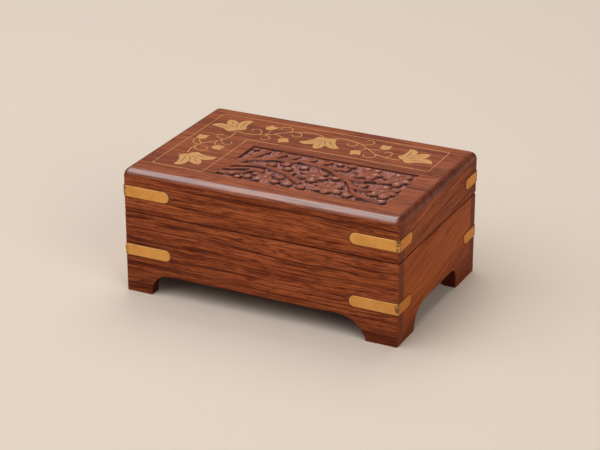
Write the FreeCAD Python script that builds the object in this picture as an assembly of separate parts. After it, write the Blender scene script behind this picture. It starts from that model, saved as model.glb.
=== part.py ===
import FreeCAD, Part
import math
import os

# A hinged keepsake box of hardwood: brass corner straps, a brass vine let into the lid and a carved field.
# Millimetres. Origin on the ground in the middle of the footprint, front towards -Y, right towards +X, up +Z.

V = FreeCAD.Vector
UP = V(0, 0, 1)

# Case
box_width = 152.4
box_depth = 100.7
box_height = 68.3
seam_height = 44.8
seam_gap = 0.3
board = 6.5
top_thickness = 3.8
lid_round = 4.2
corner_ease = 0.5
seam_ease = 0.3

# Arches between the feet
foot_left = 14.7
foot_right = 17.0
foot_near = 20.5
foot_far = 24.5
front_arch_height = 12.0
side_arch_height = 12.3
arch_left_radius = 10.0
arch_right_radius = 15.4
arch_near_radius = 13.0
arch_far_radius = 7.0

# Floor of the case
base_thickness = 3.0
base_above_arch = 1.2
base_tongue = 2.4
groove_room = 0.1
lining_thickness = 1.0
lining_room = 0.4

# Corner straps: lid straps placed from the middle of the lid's rails, body straps from the seam
strap_width = 6.0
strap_thickness = 1.2
strap_proud = 0.6
strap_long_arm = 26.5
strap_short_arm = 15.5
strap_bend = 0.8
strap_end_facets = 3
strap_room = 0.1
lid_strap_rise = {"front_left": 1.1, "front_right": -0.7, "back_left": 0.3, "back_right": -0.5}
body_strap_drop = {"front_left": 21.2, "front_right": 24.3, "back_left": 21.8, "back_right": 21.2}

# Brads
brad_thickness = 0.8
brad_length = 3.5
brad_head_radius = 0.75
brad_head_height = 0.35
brad_head_sides = 5
brad_room = 0.05
brad_from_corner = 4.8
brad_from_end = 3.0

# Butt hinges
hinge_spacing = 84.0
hinge_length = 20.0
hinge_inset = 1.2
barrel_radius = 1.6
pin_radius = 0.75
pin_room = 0.05
knuckle_gap = 0.15
barrel_room = 0.25
leaf_reach = 4.6
leaf_thickness = 0.9
leaf_room = 0.1
lid_opening = 98.0
bevel_spare = 2.0
leaf_brad_spacing = 12.0
leaf_brad_setback = 3.2
leaf_brad_length = 6.0

# Brass inlay: margins of its L-shaped border from the faces of the box
border_left_margin = 9.6
border_right_margin = 11.4
border_back_margin = 9.55
border_front_margin = 12.7
border_side_band = 29.1
border_back_band = 28.7
border_width = 0.55
inlay_depth = 0.8
inlay_gap = 0.12
longest_mitre = 0.5
vine_width = 0.6
inlay_facet_turn = 38.0
engraving_width = 0.45
engraving_depth = 0.45

# Carved field: margins from the border and from the faces of the box
field_side_margin = 6.85
field_back_margin = 6.7
field_right_margin = 13.5
field_front_margin = 12.25
field_depth = 1.8
relief_below_top = 0.3
stem_width = 2.2
carving_facet_turn = 45.0
carving_taper = 0.6
petal_count = 6
rosette_radius = 7.8
rosette_notch = 5.4
petal_half_turn = 17.0
leaf_length = 6.6
leaf_width = 4.4

# Stencils of the inlay and the carving: the lines they were drawn for, left to right and front to back
inlay_stencil = ((-66.6, -37.5, 64.8), (-37.65, 12.1, 40.8))
field_stencil = ((-30.65, 62.7), (-38.1, 5.4))

# A flower from its base along +U, one side only: base to petal tip, tip to fork, fork to the middle tip
flower_side = [(0.4, 0), (-0.4, 2.4), (0.3, 5.1), (3.5, 6.0), (7.2, 8.1), (10.6, 11.6)]
flower_inner = [(10.6, 11.6), (12.6, 8.6), (11.4, 4.6), (9.4, 2.7)]
flower_middle = [(9.4, 2.7), (12.8, 2.8), (15.3, 1.5), (16.5, 0)]
flower_lines = [[(3.6, 0.4), (6.2, 1.1), (8.8, 2.3)], [(3.0, 2.4), (6.3, 4.5), (9.6, 7.6)]]
flower_middle_line = [(8.5, 0), (11.0, 0), (13.5, 0)]
flowers = {
    "corner": (-49.0, 21.5, 129),
    "front": (-56.0, -19.0, -42),
    "back": (-0.5, 32.0, -90),
    "right": (46.6, 20.9, 51),
}

# A bud from its base along +U, one side only: base to tip, tip to notch
bud_side = [(0, 0), (0.9, 2.3), (3.2, 2.9), (6.7, 2.9)]
bud_notch = [(6.7, 2.9), (5.9, 1.2), (5.5, 0)]
buds = [(-33.5, 29.0, 95), (-21.9, 21.7, -47), (20.6, 23.0, -83), (32.5, 29.7, 95), (-60.4, 2.2, 97),
        (-48.2, -3.1, -57)]

# Stems and tendrils of the brass vine, the main stem first
vines = {
    "left": [
        [(-48.8, 20.6), (-47.7, 15), (-47.9, 10), (-49.2, 6.3), (-52.6, 1.3), (-56.6, -3.6), (-58.2, -11.5),
         (-57.0, -17.6)],
        [(-48.9, 7.1), (-51.6, 7.6), (-54.5, 9.6), (-53.8, 12.7), (-52.0, 12.1)],
        [(-49.2, 6.3), (-48.2, 3.2), (-45.2, 0.8), (-42.5, 2.4), (-44.4, 5.5)],
        [(-50.4, 4.3), (-50.8, 1.4), (-49.0, -2.1)],
        [(-56.4, -3.3), (-58.8, -1.4), (-60.3, 1.6)],
        [(-57.3, -5.4), (-59.4, -4.8), (-62.3, -2.3), (-62.9, 1.0)],
        [(-57.7, -7.6), (-56.6, -10.5), (-53.4, -12.4), (-50.2, -10.4), (-53.1, -6.7)],
    ],
    "back": [
        [(-48.2, 20.9), (-44.0, 19.6), (-37.6, 20.0), (-30.7, 23.4), (-25.4, 28.4), (-20.3, 32.1),
         (-11.0, 34.9), (-3.6, 33.2)],
        [(-35.4, 20.8), (-36.2, 25.2), (-39.2, 27.9), (-41.6, 26.4), (-41.1, 24.3)],
        [(-33.4, 21.8), (-32.1, 24.6), (-32.6, 28.4)],
        [(-33.6, 21.7), (-29.5, 20.6), (-28.0, 17.6), (-30.4, 15.5), (-32.6, 17.4)],
        [(-28.6, 25.1), (-25.8, 24.5), (-22.6, 22.3)],
        [(-22.9, 30.6), (-22.2, 34.4), (-26.2, 37.6), (-28.8, 35.2), (-28.3, 33.0)],
        [(-19.0, 32.6), (-15.6, 31.2), (-14.6, 28.0), (-17.0, 26.2), (-19.7, 28.9)],
    ],
    "right": [
        [(2.6, 33.2), (8.0, 34.4), (14.0, 33.6), (19.4, 31.4), (24.3, 27.4), (29.8, 23.0), (35.0, 20.8),
         (39.6, 19.6), (45.9, 20.3)],
        [(15.2, 33.2), (17.1, 30.2), (15.0, 27.0), (12.4, 28.3), (12.1, 30.2)],
        [(19.6, 31.3), (23.4, 33.6), (24.2, 36.6), (20.9, 38.5), (19.5, 37.0)],
        [(22.0, 29.4), (23.2, 26.6), (21.2, 23.4)],
        [(24.4, 27.3), (27.6, 27.6), (31.9, 29.2)],
        [(30.9, 22.3), (32.1, 18.8), (29.0, 15.8), (26.5, 17.2), (26.1, 19.4)],
        [(37.6, 20.2), (39.1, 23.8), (37.0, 27.9), (34.9, 27.0), (35.2, 25.4)],
    ],
}

# Carving: rosettes with the turn of their first petal, leaves with their heading, and stems
rosettes = [(38.5, -3.4, 5), (54.0, -20.3, 10), (14.6, -16.6, -15), (28.0, -27.4, 20), (-8.5, -28.2, 0),
            (54.3, -3.5, 0)]
leaves = [(-26.5, 1.6, 100), (-19.0, 0.2, 80), (-12.4, 1.0, 75), (-4.6, 1.2, 75), (4.6, 1.6, 90),
          (13.2, 1.4, 95), (26.4, 1.6, 85), (-11.2, -10.4, 50), (-4.2, -9.0, -70), (5.4, -8.6, -80),
          (26.0, -16.0, -100), (43.4, -17.0, -105), (39.4, -33.2, -95), (6.8, -32.0, -100),
          (-19.5, -31.2, -50), (48.0, -27.4, 40)]
stems = [
    [(-31.5, -14.8), (-19, -6.5), (-5, -3.6), (11, -2.6), (22, -7.2), (32, -14.6), (39.4, -23.4), (46, -31.4),
     (56, -32.8)],
    [(-31.5, -19.6), (-18, -16.2), (-11, -15.8), (1, -21), (12, -28.4)],
    [(-31.5, -25.6), (-22.5, -22.4), (-14, -22.2)],
    [(-31.5, -31.6), (-23.5, -28), (-16, -27.6)],
    [(24, -8.5), (37, -12.9), (47, -9.6)],
]

# Places that follow from the sizes above
half_width = box_width / 2
half_depth = box_depth / 2
body_top = seam_height - seam_gap / 2
lid_bottom = seam_height + seam_gap / 2
panel_bottom = box_height - top_thickness
inner_x = half_width - board
inner_y = half_depth - board
base_bottom = max(front_arch_height, side_arch_height) + base_above_arch
base_top = base_bottom + base_thickness
hinge_y = half_depth - hinge_inset
bevel_angle = math.radians(lid_opening + bevel_spare) / 2
bevel_height = hinge_inset * math.tan(bevel_angle)
knuckle_length = (hinge_length - 2 * knuckle_gap) / 3
through = 4 * box_depth
border = (-half_width + border_left_margin, half_width - border_right_margin,
          -half_depth + border_front_margin, half_depth - border_back_margin)
border_inner_x = border[0] + border_side_band
border_inner_y = border[3] - border_back_band
field = (border_inner_x + field_side_margin, half_width - field_right_margin,
         -half_depth + field_front_margin, border_inner_y - field_back_margin)
field_floor = box_height - field_depth


def block(low, high):
    """Box between two corners."""
    return Part.makeBox(high[0] - low[0], high[1] - low[1], high[2] - low[2], V(*low))


def closed(points):
    """Closed straight-sided line through the points."""
    return Part.makePolygon(points + [points[0]])


def left_of(heading):
    """Unit vector to the left of a heading on the lid."""
    return V(-heading.y, heading.x, 0).normalize()


def headings(points):
    """Heading of a smooth line at each of its points, from the circle through it and its neighbours."""
    inner = []
    for before, here, after in zip(points, points[1:], points[2:]):
        step_in = here - before
        step_out = after - here
        inner.append((step_in / step_in.dot(step_in) + step_out / step_out.dot(step_out)).normalize())

    def mirrored(chord, heading):
        return (chord * (2 * chord.dot(heading) / chord.dot(chord)) - heading).normalize()

    first = mirrored(points[1] - points[0], inner[0])
    last = mirrored(points[-1] - points[-2], inner[-1])
    return [first] + inner + [last]


def arc_steps(start, heading, end, facet_turn):
    """Places and headings along the arc that leaves start along heading, after its start."""
    chord = end - start
    turn = 2 * math.atan2(heading.cross(chord).z, heading.dot(chord))
    count = max(1, round(abs(math.degrees(turn)) / facet_turn))
    steps = []
    for index in range(1, count + 1):
        part = turn * index / count
        share = math.sin(part / 2) / math.sin(turn / 2) if abs(turn) > 1e-6 else index / count
        place = start + FreeCAD.Rotation(UP, math.degrees((part - turn) / 2)).multVec(chord) * share
        steps.append((place, FreeCAD.Rotation(UP, math.degrees(part)).multVec(heading)))
    return steps


def smooth_line(points, facet_turn):
    """Places and headings on the tangent arcs through the points, two arcs from each point to the next."""
    turns = headings(points)
    line = [(points[0], turns[0])]
    for start, end, out, into in zip(points, points[1:], turns, turns[1:]):
        chord = end - start
        both = out + into
        spread = 2 * (1 - out.dot(into))
        if spread < 1e-6:
            reach = chord.dot(chord) / (4 * chord.dot(into))
        else:
            reach = (math.sqrt(chord.dot(both) ** 2 + spread * chord.dot(chord)) - chord.dot(both)) / spread
        joint = (start + out * reach + end - into * reach) / 2
        steps = arc_steps(start, out, joint, facet_turn)
        steps += arc_steps(joint, steps[-1][1], end, facet_turn)
        gentle = math.degrees(out.getAngle(into)) < facet_turn
        line += steps[-1:] if gentle else steps
    return line


def strip(points, width, facet_turn):
    """Face of a line of one width through the points."""
    line = smooth_line(points, facet_turn)
    left = [place + left_of(heading) * (width / 2) for place, heading in line]
    right = [place - left_of(heading) * (width / 2) for place, heading in line]
    return Part.Face(closed(left + right[::-1]))


def lens(points, width, facet_turn):
    """Face of a graver's cut along the points: pointed at both ends, one width in the middle."""
    line = smooth_line(points, facet_turn)
    inner = line[1:-1]
    left = [place + left_of(heading) * (width / 2) for place, heading in inner]
    right = [place - left_of(heading) * (width / 2) for place, heading in inner]
    return Part.Face(closed([points[0]] + left + [points[-1]] + right[::-1]))


def grown(points, gap):
    """Clockwise outline moved outwards by a gap, corner by corner."""
    result = []
    for before, here, after in zip(points[-1:] + points, points, points[1:] + points[:1]):
        first = left_of(here - before)
        out = (first + left_of(after - here)).normalize()
        result.append(here + out * (gap / max(out.dot(first), longest_mitre)))
    return result


def fused(shapes):
    """One solid from overlapping shapes."""
    if len(shapes) == 1:
        return shapes[0]
    return shapes[0].multiFuse(shapes[1:]).removeSplitter()


def between_lines(value, drawn, wanted):
    """A stencil coordinate, moved from between two drawn lines to between the same two lines on the lid."""
    last = len(drawn) - 2
    index = min(last, sum(1 for line in drawn[1:] if value > line))
    share = (value - drawn[index]) / (drawn[index + 1] - drawn[index])
    return wanted[index] + share * (wanted[index + 1] - wanted[index])


def turned(place, offset):
    """A motif's own point, set down on the stencil at x, y and heading."""
    angle = math.radians(place[2])
    x = place[0] + offset[0] * math.cos(angle) - offset[1] * math.sin(angle)
    y = place[1] + offset[0] * math.sin(angle) + offset[1] * math.cos(angle)
    return (x, y)


def on_border(place):
    """Stencil point of the inlay, on the lid."""
    x = between_lines(place[0], inlay_stencil[0], (border[0], border_inner_x, border[1]))
    y = between_lines(place[1], inlay_stencil[1], (border[2], border_inner_y, border[3]))
    return V(x, y, 0)


def on_field(place):
    """Stencil point of the carving, on the lid."""
    x = between_lines(place[0], field_stencil[0], field[:2])
    y = between_lines(place[1], field_stencil[1], field[2:])
    return V(x, y, 0)


def rounded(corners):
    """Face through corners of two coordinates and a rounding radius, in facets where a count follows."""
    places = [V(corner[0], corner[1], 0) for corner in corners]
    runs = []
    for index, corner in enumerate(corners):
        here = places[index]
        back = (places[index - 1] - here).normalize()
        ahead = (places[(index + 1) % len(corners)] - here).normalize()
        half_angle = back.getAngle(ahead) / 2
        entry = here + back * (corner[2] / math.tan(half_angle))
        leave = here + ahead * (corner[2] / math.tan(half_angle))
        middle = here + (back + ahead).normalize() * (corner[2] / math.sin(half_angle) - corner[2])
        if corner[2] == 0:
            runs.append([here])
        elif len(corner) == 3:
            runs.append(Part.Arc(entry, middle, leave))
        else:
            turn = math.degrees(math.pi - 2 * half_angle)
            steps = arc_steps(entry, back * -1, leave, turn / corner[3])
            runs.append([entry] + [place for place, _ in steps])
    edges = []
    for index, run in enumerate(runs):
        if isinstance(run, list):
            edges += [Part.LineSegment(a, b).toShape() for a, b in zip(run, run[1:])]
            leave = run[-1]
        else:
            edges.append(run.toShape())
            leave = run.EndPoint
        following = runs[(index + 1) % len(runs)]
        entry = following[0] if isinstance(following, list) else following.StartPoint
        if (entry - leave).Length > 1e-6:
            edges.append(Part.LineSegment(leave, entry).toShape())
    return Part.Face(Part.Wire(edges))


def along_y(section):
    """X-Z section drawn out along the whole depth."""
    section.rotate(V(), V(1, 0, 0), 90)
    section.translate(V(0, through / 2, 0))
    return section.extrude(V(0, -through, 0))


def along_x(section):
    """Y-Z section drawn out along the whole width."""
    section.rotate(V(), V(1, 1, 1), 120)
    section.translate(V(-through / 2, 0, 0))
    return section.extrude(V(through, 0, 0))


def plan_prism(half_x, half_y, ease):
    """Upright prism on a rectangle with eased corners."""
    plan = rounded([(-half_x, -half_y, ease, 1), (half_x, -half_y, ease, 1), (half_x, half_y, ease, 1),
                    (-half_x, half_y, ease, 1)])
    plan.translate(V(0, 0, -through / 2))
    return plan.extrude(V(0, 0, through))


def body_case():
    """Solid of the case below the seam, before it is parted into boards."""
    across = along_y(rounded([(-half_width, 0, 0), (half_width, 0, 0), (half_width, body_top, seam_ease, 1),
                              (-half_width, body_top, seam_ease, 1)]))
    endwise = along_x(rounded([(-half_depth, 0, 0), (half_depth, 0, 0),
                               (half_depth, body_top - bevel_height, 0), (hinge_y, body_top, 0),
                               (-half_depth, body_top, seam_ease, 1)]))
    return across.common(endwise).common(plan_prism(half_width, half_depth, corner_ease))


def lid_case():
    """Solid of the lid with its rounded top edges, before it is parted into panel and rails."""
    across = along_y(rounded([(-half_width, lid_bottom, seam_ease, 1), (half_width, lid_bottom, seam_ease, 1),
                              (half_width, box_height, lid_round), (-half_width, box_height, lid_round)]))
    endwise = along_x(rounded([(-half_depth, lid_bottom, seam_ease, 1), (hinge_y, lid_bottom, 0),
                               (half_depth, lid_bottom + bevel_height, 0),
                               (half_depth, box_height, lid_round), (-half_depth, box_height, lid_round)]))
    return across.common(endwise).common(plan_prism(half_width, half_depth, corner_ease))


def arch_side(foot, radius, height):
    """Where an arch's upright tangent lies, so that its curve meets the ground at the foot."""
    if radius <= height:
        return foot
    return foot - radius + math.sqrt(2 * radius * height - height ** 2)


def arch_section(first, first_radius, last, last_radius, height):
    """Opening between two feet, from below the ground to the top of the arch."""
    below = -first_radius - last_radius
    return rounded([(first, below, 0), (last, below, 0), (last, height, last_radius),
                    (first, height, first_radius)])


def front_arch():
    """Arch through the front and back boards."""
    first = -half_width + arch_side(foot_left, arch_left_radius, front_arch_height)
    last = half_width - arch_side(foot_right, arch_right_radius, front_arch_height)
    return along_y(arch_section(first, arch_left_radius, last, arch_right_radius, front_arch_height))


def side_arch():
    """Arch through the two side boards."""
    first = -half_depth + arch_side(foot_near, arch_near_radius, side_arch_height)
    last = half_depth - arch_side(foot_far, arch_far_radius, side_arch_height)
    return along_x(arch_section(first, arch_near_radius, last, arch_far_radius, side_arch_height))


def base_groove():
    """Space that the floor panel's edges need in the four boards."""
    x = inner_x + base_tongue + groove_room
    y = inner_y + base_tongue + groove_room
    return block((-x, -y, base_bottom), (x, y, base_top + groove_room))


def make_base_panel():
    """Floor panel with its edges in the grooves."""
    x = inner_x + base_tongue
    y = inner_y + base_tongue
    return block((-x, -y, base_bottom), (x, y, base_top))


def make_base_lining():
    """Cloth laid on the floor."""
    x = inner_x - lining_room
    y = inner_y - lining_room
    return block((-x, -y, base_top), (x, y, base_top + lining_thickness))


def part_boards(case, bottom, top):
    """The case's four boards: front and back over the ends of the sides."""
    return {
        "front": case.common(block((-box_width, -box_depth, bottom), (box_width, -inner_y, top))),
        "back": case.common(block((-box_width, inner_y, bottom), (box_width, box_depth, top))),
        "left": case.common(block((-box_width, -inner_y, bottom), (-inner_x, inner_y, top))),
        "right": case.common(block((inner_x, -inner_y, bottom), (box_width, inner_y, top))),
    }


def at_corner(shape, corner):
    """Copy of a front-right shape at another corner of the box."""
    result = shape.copy()
    if "left" in corner:
        result = result.mirror(V(), V(1, 0, 0))
    if "back" in corner:
        result = result.mirror(V(), V(0, 1, 0))
    return result


def strap_form(height, outside, inside, room):
    """Bent corner strap at the front right, standing out and let in by two amounts, with room round it."""
    x = half_width + outside
    y = -half_depth - outside
    thickness = outside + inside
    end_x = half_width + strap_proud - strap_long_arm - room
    end_y = -half_depth - strap_proud + strap_short_arm + room
    low = height - strap_width / 2 - room
    high = height + strap_width / 2 + room
    round_end = (high - low) / 2
    plan = rounded([(end_x, y, 0), (x, y, strap_bend, strap_end_facets), (x, end_y, 0),
                    (x - thickness, end_y, 0), (x - thickness, y + thickness, 0), (end_x, y + thickness, 0)])
    plan.translate(V(0, 0, low))
    bent = plan.extrude(V(0, 0, high - low))
    facets = strap_end_facets
    front = along_y(rounded([(end_x, low, round_end, facets), (x, low, 0), (x, high, 0),
                             (end_x, high, round_end, facets)]))
    side = along_x(rounded([(y, low, 0), (end_y, low, round_end, facets), (end_y, high, round_end, facets),
                            (y, high, 0)]))
    return bent.common(front).common(side)


def strap_brad_places(height):
    """Where the brads of the front-right strap go in, with their outward directions."""
    x = half_width + strap_proud
    y = -half_depth - strap_proud
    return [
        (V(x - brad_from_corner, y, height), V(0, -1, 0)),
        (V(x - strap_long_arm + brad_from_end, y, height), V(0, -1, 0)),
        (V(x, y + brad_from_corner, height), V(1, 0, 0)),
        (V(x, y + strap_short_arm - brad_from_end, height), V(1, 0, 0)),
    ]


def prism(place, outward, sides, low_radius, high_radius, length):
    """Straight or tapering bar with flat sides, from a place along a direction."""
    turn = FreeCAD.Rotation(UP, outward)
    rings = []
    for radius, rise in ((low_radius, 0), (high_radius, length)):
        angles = [2 * math.pi * (index + 0.5) / sides for index in range(sides)]
        ring = [V(radius * math.cos(angle), radius * math.sin(angle), rise) for angle in angles]
        rings.append(closed([place + turn.multVec(point) for point in ring]))
    return Part.makeLoft(rings, True, True)


def square_bar(place, direction, thickness, length):
    """Square bar, the shank of a cut brad or the hole for it."""
    radius = thickness / math.sqrt(2)
    return prism(place, direction, 4, radius, radius, length)


def strap_brad(place, outward):
    """Cut brad with a low faceted head on the strap."""
    shank = square_bar(place, -outward, brad_thickness, brad_length)
    head = prism(place, outward, brad_head_sides, brad_head_radius, brad_head_radius / 2, brad_head_height)
    return shank.fuse(head)


def brad_hole(place, outward, length):
    """Hole for a cut brad."""
    return square_bar(place, -outward, brad_thickness + 2 * brad_room, length + brad_room)


def strap_set(heights):
    """Straps, brads, and the cuts that these need in straps and boards, for the four corners."""
    straps, brads, cuts = {}, [], []
    let_in = strap_thickness - strap_proud
    for corner, height in heights.items():
        places = strap_brad_places(height)
        holes = [brad_hole(place, outward, brad_length) for place, outward in places]
        strap = strap_form(height, strap_proud, let_in, 0).cut(holes)
        straps[corner] = at_corner(strap, corner)
        brads += [at_corner(strap_brad(place, outward), corner) for place, outward in places]
        recess = strap_form(height, strap_bend + strap_proud, let_in, strap_room)
        cuts += [at_corner(cut, corner) for cut in [recess] + holes]
    return straps, Part.makeCompound(brads), cuts


def hinge_rod(radius, start, end):
    """Rod on the hinge axis of a hinge in the middle of the box."""
    return Part.makeCylinder(radius, end - start, V(start, hinge_y, seam_height), V(1, 0, 0))


def hinge_knuckles(spare, moving):
    """Barrel lengths of the moving or the fixed leaf, with spare room round and beside them."""
    end = hinge_length / 2
    if moving:
        spans = [(-knuckle_length / 2, knuckle_length / 2)]
    else:
        spans = [(-end, -end + knuckle_length), (end - knuckle_length, end)]
    beside = knuckle_gap if spare else 0
    return [hinge_rod(barrel_radius + spare, start - beside, last + beside) for start, last in spans]


def leaf_brad(x, moving, room):
    """Flush cut brad in a hinge leaf, or the hole for it."""
    place = V(x, hinge_y - leaf_brad_setback, lid_bottom if moving else body_top)
    inward = UP if moving else -UP
    shank = square_bar(place, inward, brad_thickness + 2 * room, leaf_brad_length + room)
    head = square_bar(place, inward, 2 * (brad_head_radius + room), brad_head_height)
    return shank.fuse(head)


def hinge_half(moving):
    """Leaf with its knuckles, its brads, and the cuts they need, for a hinge in the middle of the box."""
    end = hinge_length / 2
    face = lid_bottom if moving else body_top
    inside = face + leaf_thickness if moving else face - leaf_thickness
    low, high = min(face, inside), max(face, inside)
    plate = block((-end, hinge_y - leaf_reach, low), (end, hinge_y, high))
    plate = plate.cut(hinge_knuckles(barrel_room, not moving))
    brad_places = (-leaf_brad_spacing / 2, leaf_brad_spacing / 2)
    holes = [leaf_brad(x, moving, brad_room) for x in brad_places]
    bore_radius = pin_radius + pin_room if moving else pin_radius
    bore = hinge_rod(bore_radius, -hinge_length, hinge_length)
    leaf = fused([plate] + hinge_knuckles(0, moving)).cut(holes + [bore])
    brads = [leaf_brad(x, moving, 0) for x in brad_places]
    mortise = block((-end - leaf_room, hinge_y - leaf_reach - leaf_room, min(inside, seam_height)),
                    (end + leaf_room, hinge_y, max(inside, seam_height)))
    reach = barrel_radius + barrel_room
    barrel = block((-end - barrel_room, hinge_y - reach, seam_height - reach),
                   (end + barrel_room, hinge_y + reach, seam_height + reach))
    return leaf, brads, holes + [mortise, barrel]


def hinge_pin():
    """Pin driven tight into the fixed knuckles, for a hinge in the middle of the box."""
    return hinge_rod(pin_radius, -hinge_length / 2, hinge_length / 2)


def shifted(shape, x):
    """Copy moved along the width."""
    result = shape.copy()
    result.translate(V(x, 0, 0))
    return result


def mirrored_outline(runs, place, spot, facet_turn):
    """Points of an outline from one side's smooth runs and their mirror image, set down on the lid."""
    outline = []
    for side in (1, -1):
        points = []
        for run in runs:
            placed = [spot(turned(place, (u, side * v))) for u, v in run]
            points += [point for point, _ in smooth_line(placed, facet_turn)][:-1]
        points.append(spot(turned(place, (runs[-1][-1][0], side * runs[-1][-1][1]))))
        outline += points[:-1] if side == 1 else points[:0:-1]
    return outline


def let_in(face, depth):
    """Solid below a face drawn on the lid, flush with the lid's top."""
    flush = face.copy()
    flush.translate(V(0, 0, box_height))
    return flush.extrude(V(0, 0, -depth))


def border_ring(width):
    """Line of one width round the L-shaped inlay."""
    left, right, front, back = border
    corners = [(left, front), (border_inner_x, front), (border_inner_x, border_inner_y),
               (right, border_inner_y), (right, back), (left, back)]
    sharp = Part.Face(closed([V(x, y, 0) for x, y in corners]))
    outer = sharp.makeOffset2D(width / 2, 2)
    inner = sharp.makeOffset2D(-width / 2, 2)
    return outer.cut(inner)


def make_flower(place):
    """Brass flower with its engraved petal lines, and its recess."""
    runs = [flower_side, flower_inner, flower_middle]
    outline = mirrored_outline(runs, place, on_border, inlay_facet_turn)
    lines = [flower_middle_line]
    for line in flower_lines:
        lines += [line, [(u, -v) for u, v in line]]
    cuts = []
    for line in lines:
        points = [on_border(turned(place, offset)) for offset in line]
        cuts.append(let_in(lens(points, engraving_width, inlay_facet_turn), engraving_depth))
    piece = let_in(Part.Face(closed(outline)), inlay_depth).cut(cuts)
    return piece, let_in(Part.Face(closed(grown(outline, inlay_gap))), inlay_depth)


def make_bud(place):
    """Brass bud and its recess."""
    outline = mirrored_outline([bud_side, bud_notch], place, on_border, inlay_facet_turn)
    piece = let_in(Part.Face(closed(outline)), inlay_depth)
    return piece, let_in(Part.Face(closed(grown(outline, inlay_gap))), inlay_depth)


def make_vine(strokes):
    """Brass stem with its tendrils as one cut-out, and its recess."""
    pieces, recesses = [], []
    for stroke in strokes:
        points = [on_border(place) for place in stroke]
        pieces.append(let_in(strip(points, vine_width, inlay_facet_turn), inlay_depth))
        recesses.append(let_in(strip(points, vine_width + 2 * inlay_gap, inlay_facet_turn), inlay_depth))
    return fused(pieces), recesses


def carved_form(outline, middle):
    """Form with sloping sides on the carved field's floor, from its foot outline and its middle."""
    foot = [point + UP * field_floor for point in outline]
    crown_height = UP * (box_height - relief_below_top)
    crown = [middle + (point - middle) * carving_taper + crown_height for point in outline]
    return Part.makeLoft([closed(foot), closed(crown)], True, True)


def carved_rosette(x, y, first_turn):
    """Flower with a notch between each petal and the next."""
    middle = on_field((x, y))
    outline = []
    for index in range(petal_count):
        heading = first_turn + 360 / petal_count * index
        steps = [(-petal_half_turn, rosette_radius), (petal_half_turn, rosette_radius),
                 (180 / petal_count, rosette_notch)]
        for turn, radius in steps:
            angle = math.radians(heading + turn)
            outline.append(middle + V(math.cos(angle), math.sin(angle), 0) * radius)
    return carved_form(outline, middle)


def carved_leaf(place):
    """Drop-shaped leaf with a round outer end."""
    broad = leaf_width / 2
    side = [(0, 0), (leaf_length - 2 * broad, broad), (leaf_length, 0)]
    outline = mirrored_outline([side], place, on_field, carving_facet_turn)
    return carved_form(outline, on_field(turned(place, (leaf_length / 2, 0))))


def carved_forms():
    """Rosettes, leaves and stems that stand in the carved field."""
    forms = [carved_rosette(*rosette) for rosette in rosettes]
    forms += [carved_leaf(leaf) for leaf in leaves]
    for stroke in stems:
        stem = strip([on_field(place) for place in stroke], stem_width, carving_facet_turn)
        stem.translate(UP * field_floor)
        forms.append(stem.extrude(UP * (field_depth - relief_below_top)))
    return forms


def carved_space():
    """What is cut out of the carved field round its forms."""
    hollow = block((field[0], field[2], field_floor), (field[1], field[3], box_height + field_depth))
    return hollow.cut(carved_forms())


def build_parts():
    """Every piece of the box, by name."""
    parts = {}
    body_heights = {corner: seam_height - drop for corner, drop in body_strap_drop.items()}
    rail_middle = (lid_bottom + panel_bottom) / 2
    lid_heights = {corner: rail_middle + rise for corner, rise in lid_strap_rise.items()}
    body_straps, body_brads, body_cuts = strap_set(body_heights)
    lid_straps, lid_brads, lid_cuts = strap_set(lid_heights)
    hinge_places = {"left": -hinge_spacing / 2, "right": hinge_spacing / 2}
    hinge_brads = {"body": [], "lid": []}
    for half, cuts in (("body", body_cuts), ("lid", lid_cuts)):
        leaf, brads, half_cuts = hinge_half(half == "lid")
        for side, x in hinge_places.items():
            parts[f"hinge_{side}_{half}_leaf"] = shifted(leaf, x)
            hinge_brads[half] += [shifted(brad, x) for brad in brads]
            cuts += [shifted(cut, x) for cut in half_cuts]
        parts[f"{half}_hinge_brads"] = Part.makeCompound(hinge_brads[half])
    for side, x in hinge_places.items():
        parts[f"hinge_{side}_pin"] = shifted(hinge_pin(), x)

    arches = {"front": front_arch(), "back": front_arch(), "left": side_arch(), "right": side_arch()}
    for name, shape in part_boards(body_case(), 0, body_top).items():
        parts[f"{name}_board"] = shape.cut([arches[name], base_groove()] + body_cuts)
    parts["base_panel"] = make_base_panel()
    parts["base_lining"] = make_base_lining()
    parts["body_strap_brads"] = body_brads
    lid = lid_case()
    for name, shape in part_boards(lid, lid_bottom, panel_bottom).items():
        parts[f"lid_{name}_rail"] = shape.cut(lid_cuts)
    parts["lid_strap_brads"] = lid_brads
    for corner in lid_heights:
        parts[f"body_strap_{corner}"] = body_straps[corner]
        parts[f"lid_strap_{corner}"] = lid_straps[corner]

    recesses = [let_in(border_ring(border_width + 2 * inlay_gap), inlay_depth), carved_space()]
    parts["inlay_border"] = let_in(border_ring(border_width), inlay_depth)
    for name, place in flowers.items():
        parts[f"inlay_flower_{name}"], recess = make_flower(place)
        recesses.append(recess)
    bud_pairs = [make_bud(place) for place in buds]
    parts["inlay_buds"] = Part.makeCompound([piece for piece, _ in bud_pairs])
    recesses += [recess for _, recess in bud_pairs]
    for name, strokes in vines.items():
        parts[f"inlay_vine_{name}"], vine_recesses = make_vine(strokes)
        recesses += vine_recesses
    panel = lid.common(block((-box_width, -box_depth, panel_bottom), (box_width, box_depth, box_height)))
    parts["lid_top_panel"] = panel.cut(recesses)
    return parts


os.makedirs("parts", exist_ok=True)
for node, shape in build_parts().items():
    shape.exportStep(f"parts/{node}.step")
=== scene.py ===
"""Visual model of a hinged hardwood keepsake box with brass inlay and a carved lid field.

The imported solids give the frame. This script dresses them in wood, brass and cloth finishes and
replaces the faceted trim by smooth pieces: lid panel, carving, inlay, straps, brads and cloth.
"""
from __future__ import annotations

import logging
import math
from collections.abc import Callable, Iterable, Sequence
from dataclasses import dataclass, field, replace
from enum import Enum
from functools import cached_property

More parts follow.
